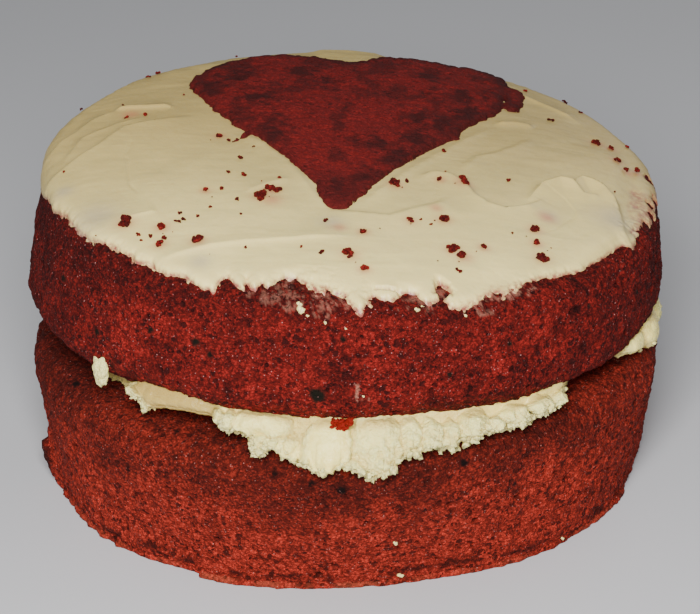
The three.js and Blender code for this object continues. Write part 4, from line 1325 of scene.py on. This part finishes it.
class CAKE_OT_icing(bpy.types.Operator):
    """Makes the icing with its knife marks, folds and ragged edge"""

    bl_idname = "cake.icing"
    bl_label = "Icing"

    # Radius of the flat top, length of the skin round the rim, and length of the wall below it, mm
    FLAT = RIM_RADIUS - RIM_ROUND
    QUARTER = (math.pi / 2) * RIM_ROUND
    WALL = 26.0
    # Radius at which the border's grid meets the middle's, mm
    SPLIT = 62.0
    # Columns and rows of the two grids
    BORDER_GRID = (1150, 76)
    MIDDLE_GRID = (560, 62)
    # How far the icing's skin would lie off the sponge where it has no thickness, mm
    SEAT = 0.2

    def station(self, reach):
        """Station of a place by its distance from the middle along the skin."""
        past = reach - self.FLAT
        on_wall = 2.0 + (past - self.QUARTER) / self.WALL
        over = np.where(past < self.QUARTER, 1.0 + past / self.QUARTER, on_wall)
        return np.where(past < 0, reach / self.FLAT, over)

    def edge_outline(self):
        """Points of the icing's edge, by how far they lie from the middle along the skin."""
        turn = np.radians([row[0] for row in ICING_EDGE])
        reach = self.FLAT + np.array([row[1] for row in ICING_EDGE], float)
        return list(zip(reach * np.cos(turn), reach * np.sin(turn)))

    def skin_height(self, reach, angle, skin, thick):
        """Height of the icing over the sponge, below zero where there is none, and how thin it is."""
        x, y = skin[..., 0], skin[..., 1]
        relief = icing_relief(x, y)
        folded = np.maximum(relief, 0.0)
        u, v = reach * np.cos(angle), reach * np.sin(angle)
        inside = np.full(u.shape, 50.0)
        near_edge = reach > self.FLAT - 12.0
        inside[near_edge] = inside_outline(u[near_edge], v[near_edge], self.edge_outline())
        smear = np.clip(bump_sum(angle, EDGE_SMEARS), 0.0, 1.0)
        ragged = 0.3 * (1.0 - 0.85 * smooth(folded))
        inside = inside + ragged * fractal(skin, 1.5, 3, 740, 0.65)
        inside = inside + smear * (1.7 * fractal(skin, 1.8, 3, 745, 0.6) + 0.5)
        rim = np.clip(bump_sum(angle, RIM_THIN), 0.0, 1.0) * smooth((reach - self.FLAT + 9.0) / 7.0)
        patchy = 0.35 * fractal(skin, 7.0, 3, 750) * rim
        full = (icing_body(reach / self.FLAT, thick) + relief) * (1.0 - 0.78 * rim) + patchy
        full = np.maximum(full, 0.15)
        rounding = mix(0.75, 2.6, smear) + 0.7 * folded
        high = np.where(inside > 0, full * (1.0 - np.exp(-np.maximum(inside, 0) / rounding)), 0.9 * inside)
        for hx, hy, wide, tall in ICING_HOLES:
            away = np.hypot((x - hx) / wide, (y - hy) / tall) + 0.5 * fractal(skin, 2.0, 2, 760)
            high = np.where(away < 1.6, high - 2.6 * smooth((1.6 - away) / 0.8), high)
        high = np.maximum(high, -1.2)
        return high, smooth((0.95 - high) / 0.8) * smooth((reach - 60.0) / 10.0)

    def sheet(self, name, reach, angle, thick, material):
        """One of the icing's two grids, over a range of distances from the middle."""
        skin = on_layer("upper", self.station(reach), angle)
        high, thin = self.skin_height(reach, angle, skin, thick)
        grid = on_layer("upper", self.station(reach), angle, self.SEAT + high)
        x, y = grid[..., 0], grid[..., 1]
        rust = np.zeros_like(x)
        for sx, sy, wide in (*CRUMBS, *RUST_STAINS):
            away = np.hypot(x - sx, y - sy) / (0.5 * wide + 0.8)
            rust = np.maximum(rust, 0.6 * np.exp(-(away**2)))
        grey = np.zeros_like(x)
        for sx, sy, wide in GREY_STAINS:
            away = np.hypot(x - sx, y - sy) / wide
            grey = np.maximum(grey, 0.5 * np.exp(-(away**2)))
        # Share of painted shade toward the back, away from the front light.
        far = smooth((y + 85.0) / 110.0)
        masks = dict(zip(ICING_MASKS, (thin, rust, grey, far, on_flat_top(x, y))))
        return mesh_piece(name, grid, wrapped_faces(*x.shape), material, masks)

    def execute(self, context):
        thick = context.scene.cake_sizes.icing_thick * 1000.0
        material = icing_material(context.scene.cake_colours)
        columns, rows = self.BORDER_GRID
        angle = turned(columns, 0.22)
        past = round_table(angle, [row for row in ICING_EDGE if row[1] > -1.0], 1)
        last = self.FLAT + past + 2.0
        reach = mix(self.SPLIT, last[None, :], np.linspace(0.0, 1.0, rows)[:, None])
        place(self.sheet("icing_border", reach, angle[None, :], thick, material), "icing", "icing")
        columns, rows = self.MIDDLE_GRID
        angle = turned(columns)
        reach = np.linspace(0.0, self.SPLIT, rows)[:, None] * np.ones_like(angle)
        place(self.sheet("icing_middle", reach, angle[None, :], thick, material), "icing")
        return {"FINISHED"}


# Heart
# Its outline: x and y in mm
HEART_OUTLINE = (
    (4, 71), (-6, 75), (-18, 79), (-31, 75), (-43, 62), (-48, 47), (-42, 28), (-32, 10), (-19, -9),
    (-15, -17), (-8, -30), (-5, -42), (0, -47), (7, -38), (13, -26), (24, -10), (34, 4), (38, 6),
    (39, 13), (49, 27), (54, 38), (55, 46), (56, 56), (57, 66), (49, 77), (38, 81), (26, 82),
    (16, 79), (9, 73),
)


def heart_outline():
    """Points of the heart's outline on an even curve through its named places."""
    knots = np.array(HEART_OUTLINE, float)
    before, after, later = np.roll(knots, 1, 0), np.roll(knots, -1, 0), np.roll(knots, -2, 0)
    t = np.linspace(0.0, 1.0, 8, endpoint=False)[None, :, None]
    a, b, c, d = (k[:, None, :] for k in (before, knots, after, later))
    curve = 2 * b + (c - a) * t + (2 * a - 5 * b + 4 * c - d) * t**2 + (3 * b - a - 3 * c + d) * t**3
    return [tuple(p) for p in 0.5 * curve.reshape(-1, 2)]


# Torn scraps by the heart: outlines in mm
HEART_SCRAPS = (
    ((53, 52), (56, 60), (59, 57), (62, 53), (61, 45), (59, 36), (56, 35), (54, 40), (55, 46)),
    ((-33, -3), (-30, 2), (-27, 7), (-24, 8), (-26, 3), (-29, -1)),
)
# Dark blotches of the heart: x, y and half width in mm
HEART_BLOTCHES = (
    (-24, 31, 5), (-20, 4, 6), (-3, 47, 4), (26, 3, 6), (18, -11, 6), (26, 18, 5), (30, 58, 4),
    (40, 38, 4.5), (42, 25, 5), (8, -29, 5), (-1, -32, 3.5), (-33, 51, 7), (-41, 41, 5), (-12, 56, 4),
    (13, -5, 3), (33, 15, 4),
)


class CAKE_OT_heart(bpy.types.Operator):
    """Makes the thin heart of crust that lies in the icing, and its torn scraps"""

    bl_idname = "cake.heart"
    bl_label = "Heart"

    # Spacing of the grid, mm
    STEP = 0.55
    # How fast the skin dives past the edge, mm for each mm
    EDGE_DEEP = 2.4

    def blotched_and_shaded(self, x, y, flat, inside):
        """How dark the heart is: as painted shade toward its far and right edges and round its rim, where
        its edges turn away from the light; darker toward its tip; and in the crust's own blotches and
        mottling.
        """
        soft_inside = inside + 2.0 * fractal(flat, 9.0, 3, 825)
        # Painted shade along the far and right edges and round the rim, where the heart's edges turn away
        # from the light.
        dark = 0.9 * smooth((7.5 - soft_inside) / 6.0) * smooth((y - 34.0) / 30.0)
        dark = np.maximum(dark, 0.7 * smooth((5.0 - soft_inside) / 4.5) * smooth((x - 4.0) / 8.0))
        dark = np.maximum(dark, 0.55 * smooth((2.0 - inside) / 2.0))
        dark = np.maximum(dark, 0.5 * smooth((-18.0 - y) / 16.0))
        for bx, by, wide in HEART_BLOTCHES:
            away = np.hypot(x - bx, 0.62 * (y - by)) / wide + 0.55 * fractal(flat, 4.0, 4, 830, 0.6)
            dark = np.maximum(dark, 0.85 * smooth((1.25 - away) / 1.0))
        mottling = fractal(flat * np.array([1.0, 0.6, 1.0]), 8.0, 4, 835, 0.65)
        return np.maximum(dark, 0.55 * smooth((mottling - 0.1) / 0.6))

    def execute(self, context):
        sizes = context.scene.cake_sizes
        proud = sizes.heart_proud * 1000.0
        outline = heart_outline()
        x, y = np.meshgrid(np.arange(-52, 66, self.STEP), np.arange(-50, 88, self.STEP), indexing="ij")
        flat = np.stack([x, y, np.zeros_like(x)], -1)
        inside = inside_outline(x, y, outline)
        for scrap in HEART_SCRAPS:
            torn = inside_outline(x, y, scrap) - 0.2 + 0.5 * fractal(flat, 2.6, 3, 804)
            inside = np.maximum(inside, torn)
        inside = inside + 0.55 * fractal(flat, 3.6, 4, 800, 0.65)
        rise = proud * (1.0 - np.exp(-np.maximum(inside, 0.0) / 0.5)) + 0.25 * fractal(flat, 12.0, 3, 810)
        rise = np.where(inside > 0, rise, self.EDGE_DEEP * inside)
        level = icing_level(x, y, sizes.icing_thick * 1000.0) + 0.6 * icing_relief(x, y)
        grid = np.stack([x, y, level + rise], -1)
        move, pit = sponge_relief(grid, sizes, 820, 0.2)
        grid[..., 2] += 0.6 * move * smooth(inside / 0.8)
        used, faces = trimmed(inside > -0.9)
        dark = self.blotched_and_shaded(x, y, flat, inside)
        masks = {"pit": pit.ravel()[used], "toast_and_shade": dark.ravel()[used]}
        points = grid.reshape(-1, 3)[used]
        material = heart_material(context.scene.cake_colours)
        place(mesh_piece("heart_crust", points, faces, material, masks), "heart", "heart")
        return {"FINISHED"}


# Crumbs on the icing: x, y and width in mm
CRUMBS = (
    (-63, -53, 4.5), (-52, -57, 3.6), (-41, -66, 3.9), (-23, -41, 4.4), (-20, -37, 4.0), (3, -72, 3.8),
    (17, -30, 3.6), (31, -50, 3.6), (33, -66, 3.7), (36, -69, 3.6), (38, -27, 3.9), (58, -50, 3.3),
    (58, -57, 2.8), (59, -64, 3.6), (42, -63, 2.4), (7, -60, 2.7), (7, -79, 2.7), (-52, -66, 3.0),
    (-40, -37, 2.1), (31, -26, 2.1), (21, -52, 2.3), (-37, 2, 2.6), (83, 19, 3.2), (87, 17, 2.4),
    (88, 7, 2.6), (91, 1, 2.4), (94, 3, 2.4),
)
# Small crumbs: x and y in mm
SMALL_CRUMBS = (
    (-51, -63), (-55, -61), (-58, -63), (-59, -60), (-35, -36), (-38, -47), (-42, -52), (-47, -50),
    (-48, -54), (-47, -55), (-46, -54), (-30, -43), (-29, -52), (-18, -30), (-33, -25), (-29, -27),
    (-30, -15), (-26, -7), (-34, -2), (-50, 37), (-69, 29), (-67, 19), (-61, 20), (-84, -19), (-4, -54),
    (-27, -69), (21, -27), (33, -4), (24, -51), (27, -53), (34, -76), (51, -54), (52, -21), (69, 32),
    (85, -17), (80, 47), (63, 60), (-63, 60), (-60, 63), (-83, 33), (-34, 82), (-11, -69), (-5, -72),
    (93, 22), (76, 60),
)
# Where the sponge stains the icing red or shows through it grey: x, y and width in mm
RUST_STAINS = ((0, -58, 3.0), (62, -42, 3.6), (29, -44, 2.2), (-20, -43, 5.0), (-66, 22, 4.0))
GREY_STAINS = (
    (-83, -30, 3.0), (-40, -75, 3.6), (-72, -47, 7.0), (63, -41, 3.0), (83, -36, 7.0), (-2, -55, 4.0),
)


class CAKE_OT_crumbs(bpy.types.Operator):
    """Scatters the red crumbs that fell on the icing"""

    bl_idname = "cake.crumbs"
    bl_label = "Crumbs"

    # How many of the larger crumbs, from the first, have a grain beside them
    GRAINS = 22
    # Torn bit of sponge: how many lumps, and its middle angle, top and distance out in mm
    TORN_LUMPS = 70
    TORN_AT = (-90.4, 60.0, 99.4)

    def all_crumbs(self, draw):
        """The larger and small crumbs, and the grains that lie beside the larger ones."""
        crumbs = list(CRUMBS) + [(x, y, draw.uniform(1.1, 2.1)) for x, y in SMALL_CRUMBS]
        for x, y, wide in CRUMBS[: self.GRAINS]:
            turn = draw.uniform(0, 2 * math.pi)
            away = draw.uniform(0.7, 2.2) * wide
            crumbs.append((x + away * math.cos(turn), y + away * math.sin(turn), draw.uniform(0.4, 0.8)))
        return crumbs

    def execute(self, context):
        sizes = context.scene.cake_sizes
        draw = np.random.default_rng(sizes.crumb_seed)
        places, radii, dark = [], [], []
        for x, y, wide in self.all_crumbs(draw):
            px, py = x, y
            shade = draw.uniform(0.1, 0.85)
            for _ in range(max(3, int(wide * 5.0))):
                turn = draw.uniform(0, 2 * math.pi)
                px = mix(px, x, 0.3) + 0.22 * wide * math.cos(turn)
                py = mix(py, y, 0.3) + 0.22 * wide * math.sin(turn)
                radius = max(wide, 0.9) * draw.uniform(0.09, 0.21)
                near_middle = math.exp(-((math.hypot(px - x, py - y) / (0.3 * wide)) ** 2))
                places.append((px, py, radius * 0.4 + 0.22 * wide * near_middle * draw.random()))
                radii.append(radius)
                dark.append(np.clip(shade * draw.uniform(0.5, 1.2), 0.0, 1.0))
        places = np.array(places)
        x, y = places[:, 0], places[:, 1]
        places[:, 2] += icing_level(x, y, sizes.icing_thick * 1000.0) + icing_relief(x, y)
        points, faces = lumps_mesh(places, radii, 0.5, 900)
        masks = {"dark": np.repeat(dark, len(points) // len(places))}
        material = crumb_material(context.scene.cake_colours)
        place(mesh_piece("icing_crumbs", points, faces, material, masks, smooth_shaded=False), "icing")
        self.torn_sponge(material)
        return {"FINISHED"}

    def torn_sponge(self, material):
        """The bright torn bit of sponge that is stuck in the filling at the front."""
        draw = np.random.default_rng(5)
        count = self.TORN_LUMPS
        middle, top, out = self.TORN_AT
        down = draw.uniform(0.0, 1.0, count) ** 1.3
        angle = np.radians(middle + draw.uniform(-1.9, 1.9, count) * (1.0 - 0.6 * down) - 1.0 * down)
        high = top - 3.4 * down
        r = out + 1.3 * down + draw.uniform(-0.5, 0.7, count)
        places = np.stack([LOWER_CENTRE[0] + r * np.cos(angle), r * np.sin(angle), high], -1)
        points, faces = lumps_mesh(places, draw.uniform(0.4, 0.8, count), 0.5, 950)
        masks = {"dark": np.full(len(points), -1.0)}
        piece = mesh_piece("torn_sponge", points, faces, material, masks, smooth_shaded=False)
        place(piece, "upper_sponge")


# White dabs on the cake's sides: layer, station, angle, width and height in mm
SIDE_DABS = (
    ("upper", 1.27, -99.6, 1.6, 1.6), ("upper", 1.45, -99.2, 2.2, 2.6), ("upper", 1.75, -95.0, 0.9, 1.0),
    ("upper", 1.29, -79.0, 1.5, 1.2), ("upper", 1.20, -77.9, 1.0, 0.8), ("upper", 2.92, -87.4, 0.7, 0.7),
    ("upper", 1.59, -98.0, 0.9, 0.8), ("lower", 2.55, -82.0, 1.3, 1.1), ("lower", 2.86, -81.0, 2.0, 1.0),
    ("lower", 2.95, -46.0, 1.0, 1.0), ("upper", 1.9, -91.5, 0.7, 0.7), ("upper", 1.62, -70.5, 0.9, 0.9),
)


class CAKE_OT_dabs(bpy.types.Operator):
    """Puts the small white dabs of icing on the cake's sides"""

    bl_idname = "cake.dabs"
    bl_label = "Side dabs"

    # How many lumps each dab is made of
    LUMPS = 4

    def execute(self, context):
        places, radii, squash = [], [], []
        for layer, station, angle, wide, tall in SIDE_DABS:
            at = on_layer(layer, station, math.radians(angle), 0.1)
            for k in range(self.LUMPS):
                aside = np.array([wide * math.cos(2.4 * k), 0.0, tall * math.sin(1.7 * k)])
                places.append(at + 0.22 * aside)
                radii.append(0.36 * wide)
                squash.append((1.0, 0.8, tall / wide))
        points, faces = lumps_mesh(places, radii, 0.35, 970, squash)
        masks = blank_masks(points, *ICING_MASKS)
        colours = context.scene.cake_colours
        material = bpy.data.materials.get("cream_icing") or icing_material(colours)
        place(mesh_piece("side_dabs", points, faces, material, masks), "icing")
        return {"FINISHED"}


class CAKE_OT_stage(bpy.types.Operator):
    """Sets the floor, the soft lights and the camera"""

    bl_idname = "cake.stage"
    bl_label = "Stage"

    # Half the floor's width, m
    FLOOR_HALF = 6.0
    # Soft lights: name, place in m, width in m and power in W
    LIGHTS = (
        ("front_light", (-0.04, -0.66, 0.45), 0.25, 11.4),
        ("left_light", (-1.3, 0.5, 0.9), 1.2, 3.5),
        ("back_light", (0.9, 1.2, 0.9), 1.2, 4.5),
    )
    # Where the lights point, m
    LIT = (0.0, 0.0, 0.06)

    def floor(self):
        half = self.FLOOR_HALF
        corners = [(-half, -half, 0), (half, -half, 0), (half, half, 0), (-half, half, 0)]
        mesh = bpy.data.meshes.new("floor")
        mesh.from_pydata(corners, [], [(0, 1, 2, 3)])
        material, shader, _ = new_material("pale_floor", 0.6, 0.3)
        shader.inputs["Base Color"].default_value = (0.54, 0.54, 0.555, 1.0)
        mesh.materials.append(material)
        floor = bpy.data.objects.new("floor", mesh)
        bpy.context.scene.collection.objects.link(floor)

    def lights(self):
        for name, place_m, size, power in self.LIGHTS:
            data = bpy.data.lights.new(name, "AREA")
            data.size = size
            data.energy = power
            lamp = bpy.data.objects.new(name, data)
            lamp.location = place_m
            toward = Vector(self.LIT) - Vector(place_m)
            lamp.rotation_euler = toward.to_track_quat("-Z", "Y").to_euler()
            bpy.context.scene.collection.objects.link(lamp)
        world = bpy.data.worlds.new("soft_room")
        world.use_nodes = True
        world.node_tree.nodes["Background"].inputs["Color"].default_value = (0.85, 0.87, 0.9, 1.0)
        world.node_tree.nodes["Background"].inputs["Strength"].default_value = 0.22
        bpy.context.scene.world = world

    def camera(self):
        """The camera that the photograph was taken with."""
        back = Vector((0.0, -math.cos(CAMERA_PITCH), math.sin(CAMERA_PITCH)))
        up = Vector((0.0, math.sin(CAMERA_PITCH), math.cos(CAMERA_PITCH)))
        right = Vector((1.0, 0.0, 0.0))
        side = right * math.cos(CAMERA_ROLL) + up * math.sin(CAMERA_ROLL)
        over = up * math.cos(CAMERA_ROLL) - right * math.sin(CAMERA_ROLL)
        place_m = (Vector(CAMERA_TARGET) + back * CAMERA_FAR - Vector((*CENTRE, 0.0))) * 0.001
        data = bpy.data.cameras.new("camera")
        data.sensor_width = 36.0
        data.lens = CAMERA_LENS
        data.clip_start = 0.01
        camera = bpy.data.objects.new("camera", data)
        turn = Matrix((side, over, back)).transposed().to_4x4()
        camera.matrix_world = Matrix.Translation(place_m) @ turn
        bpy.context.scene.collection.objects.link(camera)
        bpy.context.scene.camera = camera

    def execute(self, context):
        self.floor()
        self.lights()
        self.camera()
        return {"FINISHED"}


class CAKE_PT_panel(bpy.types.Panel):
    """Lists the cake's pieces and settings"""

    bl_idname = "CAKE_PT_panel"
    bl_label = "Cake"
    bl_space_type = "VIEW_3D"
    bl_region_type = "UI"
    bl_category = "Cake"

    def draw(self, context):
        for settings in (context.scene.cake_sizes, context.scene.cake_colours):
            box = self.layout.box()
            for name in settings.__annotations__:
                box.prop(settings, name)
        for operator in OPERATORS:
            self.layout.operator(operator.bl_idname)


OPERATORS = (
    CAKE_OT_lower_layer,
    CAKE_OT_filling,
    CAKE_OT_upper_layer,
    CAKE_OT_icing,
    CAKE_OT_heart,
    CAKE_OT_crumbs,
    CAKE_OT_dabs,
    CAKE_OT_stage,
)
CLASSES = (CakeSizes, CakeColours, *OPERATORS, CAKE_PT_panel)


def register():
    for kind in CLASSES:
        bpy.utils.register_class(kind)
    bpy.types.Scene.cake_sizes = PointerProperty(type=CakeSizes)
    bpy.types.Scene.cake_colours = PointerProperty(type=CakeColours)


def unregister():
    del bpy.types.Scene.cake_colours
    del bpy.types.Scene.cake_sizes
    for kind in reversed(CLASSES):
        bpy.utils.unregister_class(kind)


def main():
    register()
    for operator in OPERATORS:
        family, name = operator.bl_idname.split(".")
        getattr(getattr(bpy.ops, family), name)()


if __name__ == "__main__":
    main()
